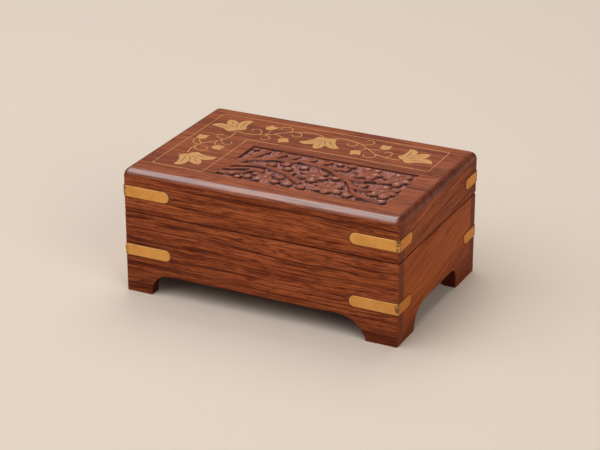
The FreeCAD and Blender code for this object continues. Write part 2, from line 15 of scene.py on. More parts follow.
import bmesh
import bpy
import numpy as np
from mathutils import Matrix, Vector

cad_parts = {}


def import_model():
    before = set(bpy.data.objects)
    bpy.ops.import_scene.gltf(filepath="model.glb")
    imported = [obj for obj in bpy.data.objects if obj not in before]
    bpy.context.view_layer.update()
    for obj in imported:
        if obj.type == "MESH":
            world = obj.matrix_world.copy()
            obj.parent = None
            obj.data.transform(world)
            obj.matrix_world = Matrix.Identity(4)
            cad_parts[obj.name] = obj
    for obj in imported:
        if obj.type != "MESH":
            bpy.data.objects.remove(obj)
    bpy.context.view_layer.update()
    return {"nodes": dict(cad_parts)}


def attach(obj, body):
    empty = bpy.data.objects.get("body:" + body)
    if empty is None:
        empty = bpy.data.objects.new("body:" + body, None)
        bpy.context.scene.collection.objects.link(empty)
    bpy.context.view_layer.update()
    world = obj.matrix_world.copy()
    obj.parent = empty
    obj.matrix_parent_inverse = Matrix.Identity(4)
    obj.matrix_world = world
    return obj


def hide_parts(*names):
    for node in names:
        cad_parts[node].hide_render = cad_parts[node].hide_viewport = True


log = logging.getLogger("keepsake_box")

MM = 0.001  # metres
SEAM_MM = 44.8  # height of the joint between case and lid
TOUCH_MM = 0.01  # distance within which two places count as one
FACING = 0.9  # least part of a normal along an axis for a face that looks that way
HANDLE_SHARE = 0.36  # length of a knot's handle as a share of the way to its neighbour
PLATE_STEPS = 7  # segments from knot to knot of a plate's outline
PLATE_SMOOTH_DEGREES = 15.0
WIRE_STEPS = 8  # segments from knot to knot of a strip
WIRE_SMOOTH_DEGREES = 20.0
WIRE_CHAMFERS = 12  # chamfers that go into the width of a strip
Colour = tuple[float, float, float]
Place = tuple[float, float, float]
Point = tuple[float, float]
Band = tuple[float, float]
Line = Sequence[Point]
Grid = np.ndarray
Value = "Wire | float | Sequence[float]"


class Grain(Enum):
    """The way the grain of a board runs."""

    ALONG_WIDTH = "width"
    ALONG_DEPTH = "depth"


class Body(Enum):
    """The two bodies that pieces ride on."""

    CASE = "body"
    LID = "lid"


class Slot(Enum):
    """Material slots of the record."""

    WOOD = "hardwood"
    INLAY = "inlay_brass"
    FITTING = "fitting_brass"
    LINING = "lining"


class Wire:
    """A shader socket that takes part in Python expressions."""

    def __init__(self, sheet: "NodeSheet", socket: bpy.types.NodeSocket) -> None:
        """Keep the sheet that owns the socket."""
        self.sheet = sheet
        self.socket = socket

    def _math(self, operation: str, first: Value, second: Value) -> "Wire":
        """Add one Math node.

        Args:
            operation: Name of the Math operation.
            first: First operand.
            second: Second operand.

        Returns:
            The result as a wire.
        """
        return self.sheet.add("ShaderNodeMath", {"operation": operation}, {0: first, 1: second})

    def __add__(self, other: Value) -> "Wire":
        """Sum."""
        return self._math("ADD", self, other)

    __radd__ = __add__

    def __sub__(self, other: Value) -> "Wire":
        """Difference."""
        return self._math("SUBTRACT", self, other)

    def __rsub__(self, other: Value) -> "Wire":
        """Difference from a number."""
        return self._math("SUBTRACT", other, self)

    def __mul__(self, other: Value) -> "Wire":
        """Product."""
        return self._math("MULTIPLY", self, other)

    __rmul__ = __mul__

    def __abs__(self) -> "Wire":
        """Size without sign."""
        return self._math("ABSOLUTE", self, 0.0)

    def ramp(self, low: float, high: float) -> "Wire":
        """Smooth step from 0 at low to 1 at high.

        Args:
            low: Value that gives 0.
            high: Value that gives 1.

        Returns:
            The step as a wire.
        """
        inputs = {"Value": self, "From Min": low, "From Max": high}
        return self.sheet.add("ShaderNodeMapRange", {"interpolation_type": "SMOOTHSTEP"}, inputs)

    def ramp_mm(self, band: Band) -> "Wire":
        """Smooth step over a band of lengths in millimetres."""
        return self.ramp(band[0] * MM, band[1] * MM)


class NodeSheet:
    """Node tree of one finish, with one method that adds nodes."""

    noise_roughness = 0.55

    def __init__(self, name: str) -> None:
        """Start a material that holds only its output.

        Args:
            name: Name of the material.
        """
        self.material = bpy.data.materials.new(name)
        self.material.use_nodes = True
        self.tree = self.material.node_tree
        self.tree.nodes.clear()
        self.output = self.tree.nodes.new("ShaderNodeOutputMaterial")

    def add(self, kind: str, settings: dict[str, object], inputs: dict[str | int, Value],
            output: str | int = 0) -> Wire:
        """Add a node, set it and feed its sockets.

        Args:
            kind: Node type.
            settings: Node properties, set before the sockets are looked up.
            inputs: Values or wires by socket identifier, socket name or index.
            output: Name or index of the output to return.

        Returns:
            The chosen output as a wire.
        """
        node = self.tree.nodes.new(kind)
        for key, setting in settings.items():
            setattr(node, key, setting)
        for key, value in inputs.items():
            socket = self._socket(node, key)
            if isinstance(value, Wire):
                self.tree.links.new(value.socket, socket)
            else:
                socket.default_value = value
        return Wire(self, node.outputs[output])

    @staticmethod
    def _socket(node: bpy.types.Node, key: str | int) -> bpy.types.NodeSocket:
        """Find an input by index, identifier or name.

        Args:
            node: The node.
            key: What names the socket.

        Returns:
            The socket.
        """
        if isinstance(key, int):
            return node.inputs[key]
        for socket in node.inputs:
            if socket.identifier == key:
                return socket
        return node.inputs[key]

    @cached_property
    def place(self) -> Wire:
        """Object coordinates, in metres."""
        return self.add("ShaderNodeTexCoord", {}, {}, "Object")

    def axis(self, axis: str) -> Wire:
        """One of the object coordinates."""
        return self.add("ShaderNodeSeparateXYZ", {}, {"Vector": self.place}, axis)

    def beyond(self, axis: str, band: Band) -> Wire:
        """Smooth step over a band of distances from the middle of an axis, in millimetres."""
        return abs(self.axis(axis)).ramp_mm(band)

    def noise(self, place: Wire, per_mm: Sequence[float], shift: Sequence[float], detail: float,
              distortion: float) -> Wire:
        """Noise with its own pitch on each axis.

        Args:
            place: Coordinates in metres.
            per_mm: Pitch on each axis, in waves per millimetre.
            shift: Offset of the pattern.
            detail: Octaves.
            distortion: How far the noise folds.

        Returns:
            The noise, about 0 to 1.
        """
        scale = tuple(pitch / MM for pitch in per_mm)
        mapped = self.add("ShaderNodeMapping", {}, {"Vector": place, "Scale": scale, "Location": shift})
        inputs = {"Vector": mapped, "Scale": 1.0, "Detail": detail, "Roughness": self.noise_roughness,
                  "Distortion": distortion}
        return self.add("ShaderNodeTexNoise", {"noise_dimensions": "3D"}, inputs)

    def blend(self, share: Value, first: Value, second: Value) -> Wire:
        """Mix two colours.

        Args:
            share: 0 for the first colour, 1 for the second.
            first: First colour.
            second: Second colour.

        Returns:
            The mixed colour.
        """
        def rgba(colour: Value) -> Value:
            """A plain colour with its alpha."""
            return colour if isinstance(colour, Wire) else (*colour, 1.0)

        inputs = {"Factor_Float": share, "A_Color": rgba(first), "B_Color": rgba(second)}
        return self.add("ShaderNodeMix", {"data_type": "RGBA"}, inputs, 2)

    def bump(self, height: Wire, distance_mm: float, strength: float) -> Wire:
        """Surface normal from a height."""
        inputs = {"Height": height, "Distance": distance_mm * MM, "Strength": strength}
        return self.add("ShaderNodeBump", {}, inputs)

    def surface(self, inputs: dict[str | int, Value]) -> bpy.types.Material:
        """Close the sheet with a Principled surface.

        Args:
            inputs: Values or wires of the surface.

        Returns:
            The finished material.
        """
        shader = self.add("ShaderNodeBsdfPrincipled", {}, inputs)
        self.tree.links.new(shader.socket, self.output.inputs["Surface"])
        return self.material


@dataclass(frozen=True)
class Pattern:
    """Noise that marks a surface.

    Its pitch is in waves per millimetre, along and across the grain or on the three axes. Its marks grow
    from nothing to its share between two levels of the noise.
    """

    pitch: Sequence[float]
    levels: Band = (0.0, 1.0)
    share: float = 1.0
    octaves: float = 2.0
    shift: Place = (0.0, 0.0, 0.0)
    folds: float = 0.0

    def noise(self, sheet: NodeSheet, place: Wire) -> Wire:
        """The bare noise."""
        return sheet.noise(place, self.pitch, self.shift, self.octaves, self.folds)

    def marks(self, noise: Wire) -> Wire:
        """Marks that the noise leaves."""
        return noise.ramp(*self.levels) * self.share


@dataclass(frozen=True)
class WoodTones:
    """Colours of one timber."""

    light: Colour
    warm: Colour
    dark: Colour
    end: Colour


@dataclass(frozen=True)
class SheeshamFinish:
    """Waxed rosewood-like boards with dark streaks along the grain.

    Bands are lengths in millimetres from the middle of the box or up from the floor.
    """

    name: str
    grain: Grain
    tones: WoodTones
    shift: Place
    tilt: float = 0.0
    streaking: float = 0.8
    ends: Band | None = None
    end_streaking: float = 0.4
    roughness: float = 0.42
    gloss: float = 0.03
    polished_up_to: Band | None = None
    sway: Pattern = Pattern((0.014, 0.05))
    sway_mm: float = 5.0
    bands: Pattern = Pattern((0.004, 0.10), (0.36, 0.64), 0.35)
    lines: Pattern = Pattern((0.035, 1.5), (0.41, 0.59), 0.65, 3.0)
    streaks: Pattern = Pattern((0.008, 0.66), (0.48, 0.66), 1.0, 3.0)
    pores: Pattern = Pattern((0.14, 2.3), (0.50, 0.66), 1.0, 1.0)
    pore_share: float = 0.85
    end_specks: Pattern = Pattern((0.02, 1.1, 0.12), (0.40, 0.62), 1.0, 3.0)
    streak_dullness: float = 0.10
    pore_dullness: float = 0.12
    pore_relief: float = 0.7
    line_relief: float = 0.5
    relief_mm: float = 0.05
    relief_strength: float = 0.35
    side_skin: Band = (75.4, 75.9)
    front_skin: Band = (49.6, 50.0)
    # Painted shade along the seam, towards the feet and under the arches: bands in millimetres and shares.
    seam_shade_band: Band = (0.2, 0.5)
    seam_shade_share: float = 0.9
    foot_shade_band: Band = (0.0, 20.0)
    foot_shade_share: float = 0.55
    arch_shade: Band = (14.0, 15.5)
    arch_share: float = 0.7
    polished_from: Band = (64.6, 66.4)
    polished_front: Band = (44.5, 46.0)
    unpolished_ends: Band = (73.0, 75.0)
    polish_roughness: float = 0.28
    polish_index: float = 2.2

    def drawn_out(self, sheet: NodeSheet, place: Wire, pattern: Pattern) -> Wire:
        """Noise of a pattern that runs along the grain.

        Args:
            sheet: The sheet that is drawn on.
            place: Coordinates of the pattern.
            pattern: The pattern.

        Returns:
            The noise.
        """
        along, across = pattern.pitch
        pitch = (along, across, across) if self.grain is Grain.ALONG_WIDTH else (across, along, across)
        return replace(pattern, pitch=pitch, shift=self.shift).noise(sheet, place)

    def bent_place(self, sheet: NodeSheet) -> Wire:
        """Coordinates that follow the wandering grain.

        Args:
            sheet: The sheet that is drawn on.

        Returns:
            The place, tilted and swayed across the grain.
        """
        rotation = (math.radians(self.tilt), 0.0, 0.0)
        turned = sheet.add("ShaderNodeMapping", {}, {"Vector": sheet.place, "Rotation": rotation})
        sway = (self.drawn_out(sheet, turned, self.sway) - 0.5) * (self.sway_mm * MM)
        step = sheet.add("ShaderNodeCombineXYZ", {}, {"Y": sway, "Z": sway})
        return sheet.add("ShaderNodeVectorMath", {"operation": "ADD"}, {0: turned, 1: step})

    def with_painted_shade(self, sheet: NodeSheet, colour: Wire) -> Wire:
        """Paint shade along the seam, towards the feet and on the undersides of the arches.

        Args:
            sheet: The sheet that is drawn on.
            colour: Colour of the clean wood.

        Returns:
            The colour with its painted shade.
        """
        height = sheet.axis("Z")
        skin = sheet.beyond("X", self.side_skin) + sheet.beyond("Y", self.front_skin)
        outer = skin.ramp(0.0, 1.0)
        # Painted shade: darker along the outer seam, towards the feet and on the inner faces under the
        # arches.
        seam = (1.0 - abs(height - SEAM_MM * MM).ramp_mm(self.seam_shade_band)) * outer
        feet = 1.0 - height.ramp_mm(self.foot_shade_band)
        arch = (1.0 - outer) * (1.0 - height.ramp_mm(self.arch_shade))
        painted_shade = seam * self.seam_shade_share + feet * self.foot_shade_share + arch * self.arch_share
        return sheet.blend(painted_shade, colour, self.tones.dark)

    def end_grained(self, sheet: NodeSheet, colour: Wire) -> Wire:
        """Lay end grain over the two ends of a board.

        Args:
            sheet: The sheet that is drawn on.
            colour: Colour of the long grain.

        Returns:
            The colour of the whole board.
        """
        specks = replace(self.end_specks, shift=self.shift, share=self.end_streaking)
        speckled = specks.marks(specks.noise(sheet, sheet.place))
        end_colour = sheet.blend(speckled, self.tones.end, self.tones.dark)
        return sheet.blend(sheet.beyond("X", self.ends), colour, end_colour)

    def polish(self, sheet: NodeSheet) -> dict[str, Value]:
        """Polish rubbed on the round-over at the front and the back.

        Args:
            sheet: The sheet that is drawn on.

        Returns:
            Inputs of the surface's coat.
        """
        height = sheet.axis("Z")
        rubbed = height.ramp_mm(self.polished_from) * (1.0 - height.ramp_mm(self.polished_up_to))
        long_grain = 1.0 - sheet.beyond("X", self.unpolished_ends)
        rounded = sheet.beyond("Y", self.polished_front)
        return {"Coat Weight": rubbed * long_grain * rounded, "Coat Roughness": self.polish_roughness,
                "Coat IOR": self.polish_index}

    def material(self) -> bpy.types.Material:
        """Make the material.

        Returns:
            Wood with bands, streaks, pores and painted shade and, where asked, end grain and polish.
        """
        sheet = NodeSheet(self.name)
        bent = self.bent_place(sheet)
        bands, lines, streaks, pores = (self.drawn_out(sheet, bent, pattern)
                                        for pattern in (self.bands, self.lines, self.streaks, self.pores))
        pores = self.pores.marks(pores)
        tone = self.bands.marks(bands) + self.lines.marks(lines)
        colour = sheet.blend(tone, self.tones.warm, self.tones.light)
        colour = sheet.blend(self.streaks.marks(streaks) * self.streaking, colour, self.tones.dark)
        colour = sheet.blend(pores * (self.pore_share * self.streaking), colour, self.tones.dark)
        colour = self.with_painted_shade(sheet, colour)
        if self.ends:
            colour = self.end_grained(sheet, colour)
        smooth = self.roughness - self.streak_dullness / 2
        rough = streaks * self.streak_dullness + pores * self.pore_dullness + smooth
        relief = 1.0 - pores * self.pore_relief - lines * self.line_relief
        inputs = {"Base Color": colour, "Roughness": rough, "Specular IOR Level": self.gloss,
                  "Normal": sheet.bump(relief, self.relief_mm, self.relief_strength)}
        if self.polished_up_to:
            inputs |= self.polish(sheet)
        return sheet.surface(inputs)


@dataclass(frozen=True)
class CarvedFinish:
    """Carved wood: painted highlights on the crowns, a tooled ground lightened pink as painted sheen, and
    dark walls and crevices of painted shade.

    Levels are those between which a tone grows from nothing to its share.
    """

    name: str
    top: Colour
    # Colour of the painted highlights on the crowns.
    crown: Colour
    # Colour of the tooled ground: wood lightened pink as painted sheen.
    ground: Colour
    # Dark brown of grain and tool marks, and of the painted shade on steep walls and in crevices.
    wall: Colour
    grain: Pattern = Pattern((0.03, 0.9, 0.9), (0.42, 0.68), 0.6, 3.0, (3.0, 1.0, 2.0), 0.2)
    cuts: Pattern = Pattern((0.9, 0.5, 0.9), (0.42, 0.66), 0.75, 2.0, (0.0, 5.0, 1.0))
    painted_glint_levels: Band = (0.34, 0.62)
    painted_glint_share: float = 0.95
    depth_levels: Band = (0.35, 0.80)
    # Painted shade: levels and shares for the crevices and the steep walls.
    crevice_levels: Band = (0.15, 0.9)
    crevice_share: float = 0.7
    wall_levels: Band = (0.2, 0.7)
    wall_share: float = 0.95
    roughness: float = 0.28
    ground_dullness: float = 0.12
    cut_dullness: float = 0.1
    wall_dullness: float = 0.25
    gloss: float = 0.2
    grain_relief: float = 0.5
    relief_mm: float = 0.18
    relief_strength: float = 0.5

    def material(self) -> bpy.types.Material:
        """Make the material.

        Returns:
            Wood coloured by the carving's own attributes: painted shade from steepness and crevices, painted
            highlight on the crowns, and the ground's tone by depth.
        """
        sheet = NodeSheet(self.name)
        steep, deep, painted_highlight, crevice = (sheet.add("ShaderNodeAttribute", {"attribute_name": name}, {}, "Fac")
                                      for name in ("steep", "deep", "painted_highlight", "crevice"))
        grain, cuts = (pattern.noise(sheet, sheet.place) for pattern in (self.grain, self.cuts))
        tops = sheet.blend(self.grain.marks(grain), self.top, self.wall)
        # Painted highlight: light spots on the crowns.
        tops = sheet.blend(painted_highlight * cuts.ramp(*self.painted_glint_levels) * self.painted_glint_share, tops, self.crown)
        floor = sheet.blend(self.cuts.marks(cuts), self.ground, self.wall)
        colour = sheet.blend(deep.ramp(*self.depth_levels), tops, floor)
        # Painted shade in the crevices and on the steep walls.
        colour = sheet.blend(crevice.ramp(*self.crevice_levels) * self.crevice_share, colour, self.wall)
        colour = sheet.blend(steep.ramp(*self.wall_levels) * self.wall_share, colour, self.wall)
        rough = (deep * self.ground_dullness + cuts * self.cut_dullness + steep * self.wall_dullness
                 + self.roughness)
        normal = sheet.bump(cuts + grain * self.grain_relief, self.relief_mm, self.relief_strength)
        return sheet.surface({"Base Color": colour, "Roughness": rough, "Specular IOR Level": self.gloss,
                              "Normal": normal})


@dataclass(frozen=True)
class BrassFinish:
    """Rubbed brass with fine scratches and small tarnish spots.

    Bands are lengths in millimetres from the middle of the box, which find the bend and the side arm of a
    strap.
    """

    name: str
    bright: Colour
    dull: Colour
    spots: float
    roughness: float
    metal: float = 1.0
    bent_round_corners: bool = False
    tarnish: Colour = (0.10, 0.045, 0.02)
    edge_tint: Colour = (1.0, 0.88, 0.72)
    clouds: Pattern = Pattern((0.12, 0.12, 0.12), (0.35, 0.75), 0.8, 3.0, (1.0, 2.0, 3.0))
    scratches: Pattern = Pattern((0.25, 3.0, 4.0), shift=(4.0, 0.0, 2.0))
    scratch_mm: float = 0.01
    scratch_strength: float = 0.25
    freckles: Pattern = Pattern((0.9, 0.9, 0.9), (0.66, 0.76), shift=(7.0, 1.0, 5.0))
    bend_levels: Band = (0.42, 0.54)
    bend_share: float = 0.8
    bend_on_front: Band = (74.0, 75.6)
    bend_on_side: Band = (48.2, 49.7)
    side_arm: Band = (75.5, 76.5)
    front_arm: Band = (49.7, 50.7)
    # Painted shade on a strap's side arms: levels, tone and share.
    side_arm_shade_levels: Band = (0.0, 0.7)
    side_arm_shade: Colour = (0.62, 0.225, 0.035)
    side_arm_shade_share: float = 0.85
    cloud_dullness: float = 0.12
    scratch_dullness: float = 0.08
    stain_dullness: float = 0.2
    stain_cover: float = 0.6

    def material(self) -> bpy.types.Material:
        """Make the material.

        Returns:
            Satin brass, with painted shade on its side arms and tarnished bends where it is bent round
            corners.
        """
        sheet = NodeSheet(self.name)
        clouds, scratches, freckles = (pattern.noise(sheet, sheet.place)
                                       for pattern in (self.clouds, self.scratches, self.freckles))
        stain = self.freckles.marks(freckles) * self.spots
        colour = sheet.blend(self.clouds.marks(clouds), self.bright, self.dull)
        if self.bent_round_corners:
            bend = sheet.beyond("X", self.bend_on_front) * sheet.beyond("Y", self.bend_on_side)
            stain = stain + bend * freckles.ramp(*self.bend_levels) * self.bend_share
            # Painted shade: the side arms take a darker, deeper tone than the front arms.
            side = sheet.beyond("X", self.side_arm).ramp(*self.side_arm_shade_levels)
            side = side * (1.0 - sheet.beyond("Y", self.front_arm))
            colour = sheet.blend(side * self.side_arm_shade_share, colour, self.side_arm_shade)
        colour = sheet.blend(stain, colour, self.tarnish)
        smooth = self.roughness - (self.cloud_dullness + self.scratch_dullness) / 2
        rough = (clouds * self.cloud_dullness + scratches * self.scratch_dullness
                 + stain * self.stain_dullness + smooth)
        return sheet.surface({"Base Color": colour, "Metallic": self.metal - stain * self.stain_cover,
                              "Roughness": rough, "Specular Tint": (*self.edge_tint, 1.0),
                              "Normal": sheet.bump(scratches, self.scratch_mm, self.scratch_strength)})


@dataclass(frozen=True)
class FillerFinish:
    """Dark lac that fills engraved lines and the joints round the brass; also painted shade in the lid's
    pocket and painted shadow round the straps.
    """

    name: str
    tone: Colour
    mottle_tone: Colour = (0.09, 0.035, 0.02)
    mottle: Pattern = Pattern((1.5, 1.5, 1.5))
    mottle_share: float = 0.5
    mottle_dullness: float = 0.2
    roughness: float = 0.45

    def material(self) -> bpy.types.Material:
        """Make the material.

        Returns:
            Mottled dull lac.
        """
        sheet = NodeSheet(self.name)
        mottle = self.mottle.noise(sheet, sheet.place)
        colour = sheet.blend(mottle * self.mottle_share, self.tone, self.mottle_tone)
        rough = mottle * self.mottle_dullness + self.roughness
        return sheet.surface({"Base Color": colour, "Roughness": rough})


@dataclass(frozen=True)
class VelvetFinish:
    """Short-pile cloth."""

    name: str
    tone: Colour
    shade: Colour
    roughness: float = 0.9
    sheen: Colour = (0.9, 0.35, 0.38)
    sheen_share: float = 0.3
    sheen_roughness: float = 0.4
    nap: Pattern = Pattern((0.08, 0.08, 0.08), (0.30, 0.75), 0.35, 2.0, (2.0, 0.0, 0.0))
    pile: Pattern = Pattern((4.0, 4.0, 4.0), (0.5, 0.8), 0.5, 1.0, (0.0, 3.0, 0.0))
    pile_mm: float = 0.2
    pile_strength: float = 0.5

    def material(self) -> bpy.types.Material:
        """Make the material.

        Returns:
            Cloth with a brushed nap and a low sheen.
        """
        sheet = NodeSheet(self.name)
        nap, pile = (pattern.noise(sheet, sheet.place) for pattern in (self.nap, self.pile))
        colour = sheet.blend(self.nap.marks(nap), self.tone, self.shade)
        colour = sheet.blend(self.pile.marks(pile), colour, self.shade)
        return sheet.surface({"Base Color": colour, "Roughness": self.roughness,
                              "Sheen Weight": self.sheen_share, "Sheen Tint": (*self.sheen, 1.0),
                              "Sheen Roughness": self.sheen_roughness,
                              "Normal": sheet.bump(pile, self.pile_mm, self.pile_strength)})


@dataclass(frozen=True)
class FloorFinish:
    """Plain pale floor."""

    name: str
    tone: Colour
    roughness: float = 0.9
    gloss: float = 0.2

    def material(self) -> bpy.types.Material:
        """Make the material."""
        return NodeSheet(self.name).surface({"Base Color": (*self.tone, 1.0), "Roughness": self.roughness,
                                             "Specular IOR Level": self.gloss})


class Bench:
    """Hand work on one mesh at a time."""

    merge_within_mm = 0.002
    sharp_from_degrees = 40.0
    smooth_degrees = 60.0

    @staticmethod
    def clear() -> None:
        """Leave edit mode and deselect everything."""
        if bpy.context.object and bpy.context.object.mode != "OBJECT":
            bpy.ops.object.mode_set(mode="OBJECT")
        bpy.ops.object.select_all(action="DESELECT")

    @staticmethod
    def choose(piece: bpy.types.Object) -> None:
        """Make one piece the only chosen one.

        Args:
            piece: The piece.
        """
        Bench.clear()
        piece.select_set(True)
        bpy.context.view_layer.objects.active = piece

    @staticmethod
    def settle(piece: bpy.types.Object) -> None:
        """Bring a piece's place and size into its mesh."""
        Bench.choose(piece)
        bpy.ops.object.transform_apply(location=True, rotation=True, scale=True)

    @staticmethod
    def block(name: str, low: Sequence[float], high: Sequence[float]) -> bpy.types.Object:
        """A block between two corners, to be shaped further.

        Args:
            name: Name of the piece.
            low: Lowest corner in millimetres.
            high: Highest corner in millimetres.

        Returns:
            The block, with its place in its mesh.
        """
        Bench.clear()
        middle = [(a + b) / 2 * MM for a, b in zip(low, high)]
        bpy.ops.mesh.primitive_cube_add(size=1.0, location=middle)
        piece = bpy.context.object
        piece.name = name
        piece.scale = [(b - a) * MM for a, b in zip(low, high)]
        Bench.settle(piece)
        return piece

    @staticmethod
    def grid(name: str, middle: Place, size: Point, cells: tuple[int, int]) -> bpy.types.Object:
        """A flat grid, to be shaped further.

        Args:
            name: Name of the piece.
            middle: Its middle in millimetres.
            size: Its width and depth in millimetres.
            cells: How many cells go into its width and its depth.

        Returns:
            The grid, with its place in its mesh.
        """
        Bench.clear()
        bpy.ops.mesh.primitive_grid_add(x_subdivisions=cells[0], y_subdivisions=cells[1], size=1.0,
                                        location=[part * MM for part in middle])
        piece = bpy.context.object
        piece.name = name
        piece.scale = (size[0] * MM, size[1] * MM, 1.0)
        Bench.settle(piece)
        return piece

    @staticmethod
    def edit(piece: bpy.types.Object, mode: str) -> None:
        """Open a piece in edit mode with nothing selected.

        Args:
            piece: The piece.
            mode: VERT, EDGE or FACE.
        """
        Bench.choose(piece)
        bpy.ops.object.mode_set(mode="EDIT")
        bpy.ops.mesh.select_mode(type=mode)
        bpy.ops.mesh.select_all(action="DESELECT")

    @staticmethod
    def pick_edges(piece: bpy.types.Object, test: Callable[[Vector, Vector], bool]) -> None:
        """Select the edges that pass a test.

        Args:
            piece: The piece, open in edit mode.
            test: What the two ends of an edge, in millimetres, have to pass.
        """
        bpy.ops.mesh.select_all(action="DESELECT")
        work = bmesh.from_edit_mesh(piece.data)
        for edge in work.edges:
            ends = [vertex.co / MM for vertex in edge.verts]
            edge.select_set(test(*ends))
        bmesh.update_edit_mesh(piece.data)

    @staticmethod
    def pick_faces(piece: bpy.types.Object, test: Callable[[Vector, Vector], bool]) -> None:
        """Select the faces that pass a test.

        Args:
            piece: The piece, open in edit mode.
            test: What the middle of a face, in millimetres, and its normal have to pass.
        """
        bpy.ops.mesh.select_all(action="DESELECT")
        work = bmesh.from_edit_mesh(piece.data)
        work.normal_update()
        for face in work.faces:
            face.select_set(test(face.calc_center_median() / MM, face.normal))
        bmesh.update_edit_mesh(piece.data)

    @staticmethod
    def extrude(step: Sequence[float]) -> None:
        """Extrude the selected faces by a step in millimetres."""
        move = {"value": tuple(part * MM for part in step)}
        bpy.ops.mesh.extrude_region_move(TRANSFORM_OT_translate=move)

    @staticmethod
    def bevel(width: float, segments: int) -> None:
        """Round the selected edges, width in millimetres."""
        bpy.ops.mesh.bevel(offset=width * MM, segments=segments, affect="EDGES", clamp_overlap=False)

    @staticmethod
    def close(piece: bpy.types.Object, smooth_degrees: float = smooth_degrees) -> None:
        """Merge doubles, turn faces outwards, leave edit mode and shade by angle.

        Args:
            piece: The piece.
            smooth_degrees: Angle below which edges are shaded smooth.
        """
        Bench.choose(piece)
        bpy.ops.object.mode_set(mode="EDIT")
        bpy.ops.mesh.select_all(action="SELECT")
        bpy.ops.mesh.remove_doubles(threshold=Bench.merge_within_mm * MM)
        bpy.ops.mesh.normals_make_consistent(inside=False)
        bpy.ops.object.mode_set(mode="OBJECT")
        bpy.ops.object.shade_smooth_by_angle(angle=math.radians(smooth_degrees))
        Bench.clear()

    @staticmethod
    def soften(piece: bpy.types.Object, width: float, segments: int) -> None:
        """Ease all sharp edges with an applied Bevel modifier.

        Args:
            piece: The piece.
            width: Width of the eased edge in millimetres.
            segments: Steps of the rounding.
        """
        Bench.choose(piece)
        ease = piece.modifiers.new("ease", "BEVEL")
        ease.width = width * MM
        ease.segments = segments
        ease.limit_method = "ANGLE"
        ease.angle_limit = math.radians(Bench.sharp_from_degrees)
        bpy.ops.object.modifier_apply(modifier=ease.name)

    @staticmethod
    def twin(piece: bpy.types.Object, name: str, change: Matrix) -> bpy.types.Object:
        """Copy a piece with its own mesh.

        Args:
            piece: What is copied.
            name: Name of the copy.
            change: How the copy's mesh is moved or mirrored, in metres.

        Returns:
            The copy.
        """
        copy = bpy.data.objects.new(name, piece.data.copy())
        bpy.context.scene.collection.objects.link(copy)
        copy.data.transform(change)
        if change.determinant() < 0:
            copy.data.flip_normals()
        return copy

    @staticmethod
    def join(pieces: Sequence[bpy.types.Object], name: str) -> bpy.types.Object:
        """Join pieces into one.

        Args:
            pieces: What is joined.
            name: Name of the result.

        Returns:
            The joined piece.
        """
        Bench.clear()
        for piece in pieces:
            piece.select_set(True)
        bpy.context.view_layer.objects.active = pieces[0]
        if len(pieces) > 1:
            bpy.ops.object.join()
        pieces[0].name = name
        return pieces[0]


def dress(piece: bpy.types.Object, material: bpy.types.Material) -> None:
    """Give a piece one material all over."""
    piece.data.materials.clear()
    piece.data.materials.append(material)


def install(piece: bpy.types.Object, material: bpy.types.Material, body: Body,
            nodes: Sequence[str]) -> None:
    """Dress a new piece, let it ride and hide the solids that it replaces.

    Args:
        piece: The piece.
        material: Its material.
        body: The body that it rides on.
        nodes: Solids that it replaces.
    """
    dress(piece, material)
    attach(piece, body.value)
    if nodes:
        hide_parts(*nodes)
    log.info("%s: %d faces on %s", piece.name, len(piece.data.polygons), body.value)


def headings(points: Sequence[Vector]) -> list[Vector]:
    """Heading of a smooth line at each of its points.

    Args:
        points: Places that the line passes.

    Returns:
        Unit headings, from the circle through each point and its neighbours.
    """
    inner = []
    for before, here, after in zip(points, points[1:], points[2:]):
        step_in, step_out = here - before, after - here
        inner.append((step_in / step_in.length_squared + step_out / step_out.length_squared).normalized())

    def mirrored(chord: Vector, heading: Vector) -> Vector:
        """Heading at the other end of an arc."""
        return (chord * (2 * chord.dot(heading) / chord.length_squared) - heading).normalized()

    if not inner:
        chord = (points[1] - points[0]).normalized()
        return [chord, chord]
    return [mirrored(points[1] - points[0], inner[0]), *inner, mirrored(points[-1] - points[-2], inner[-1])]


@dataclass
class Knot:
    """One point of a drawn curve with its two handles, in millimetres."""

    place: Vector
    back: Vector
    ahead: Vector
    weight: float = 1.0


def run_knots(points: Sequence[Vector]) -> list[Knot]:
    """Knots of one smooth run.

    Args:
        points: Places that the run passes.

    Returns:
        Knots with handles a third of the way to their neighbours.
    """
    turns = headings(points)
    knots = []
    for index, (here, turn) in enumerate(zip(points, turns)):
        before = (here - points[index - 1]).length if index else 0.0
        after = (points[index + 1] - here).length if index + 1 < len(points) else 0.0
        back, ahead = turn * (before * HANDLE_SHARE), turn * (after * HANDLE_SHARE)
        knots.append(Knot(here, here - back, here + ahead))
    return knots


def closed_knots(runs: Sequence[Sequence[Vector]]) -> list[Knot]:
    """Knots of a closed outline of smooth runs that meet in corners.

    Args:
        runs: The runs, each starting where the one before ends.

    Returns:
        The knots of the whole outline.
    """
    outline: list[Knot] = []
    for run in runs:
        knots = run_knots(run)
        if outline:
            outline[-1].ahead = knots[0].ahead
            knots = knots[1:]
        outline += knots
    first, last = outline[0], outline.pop()
    first.back = last.back
    return outline


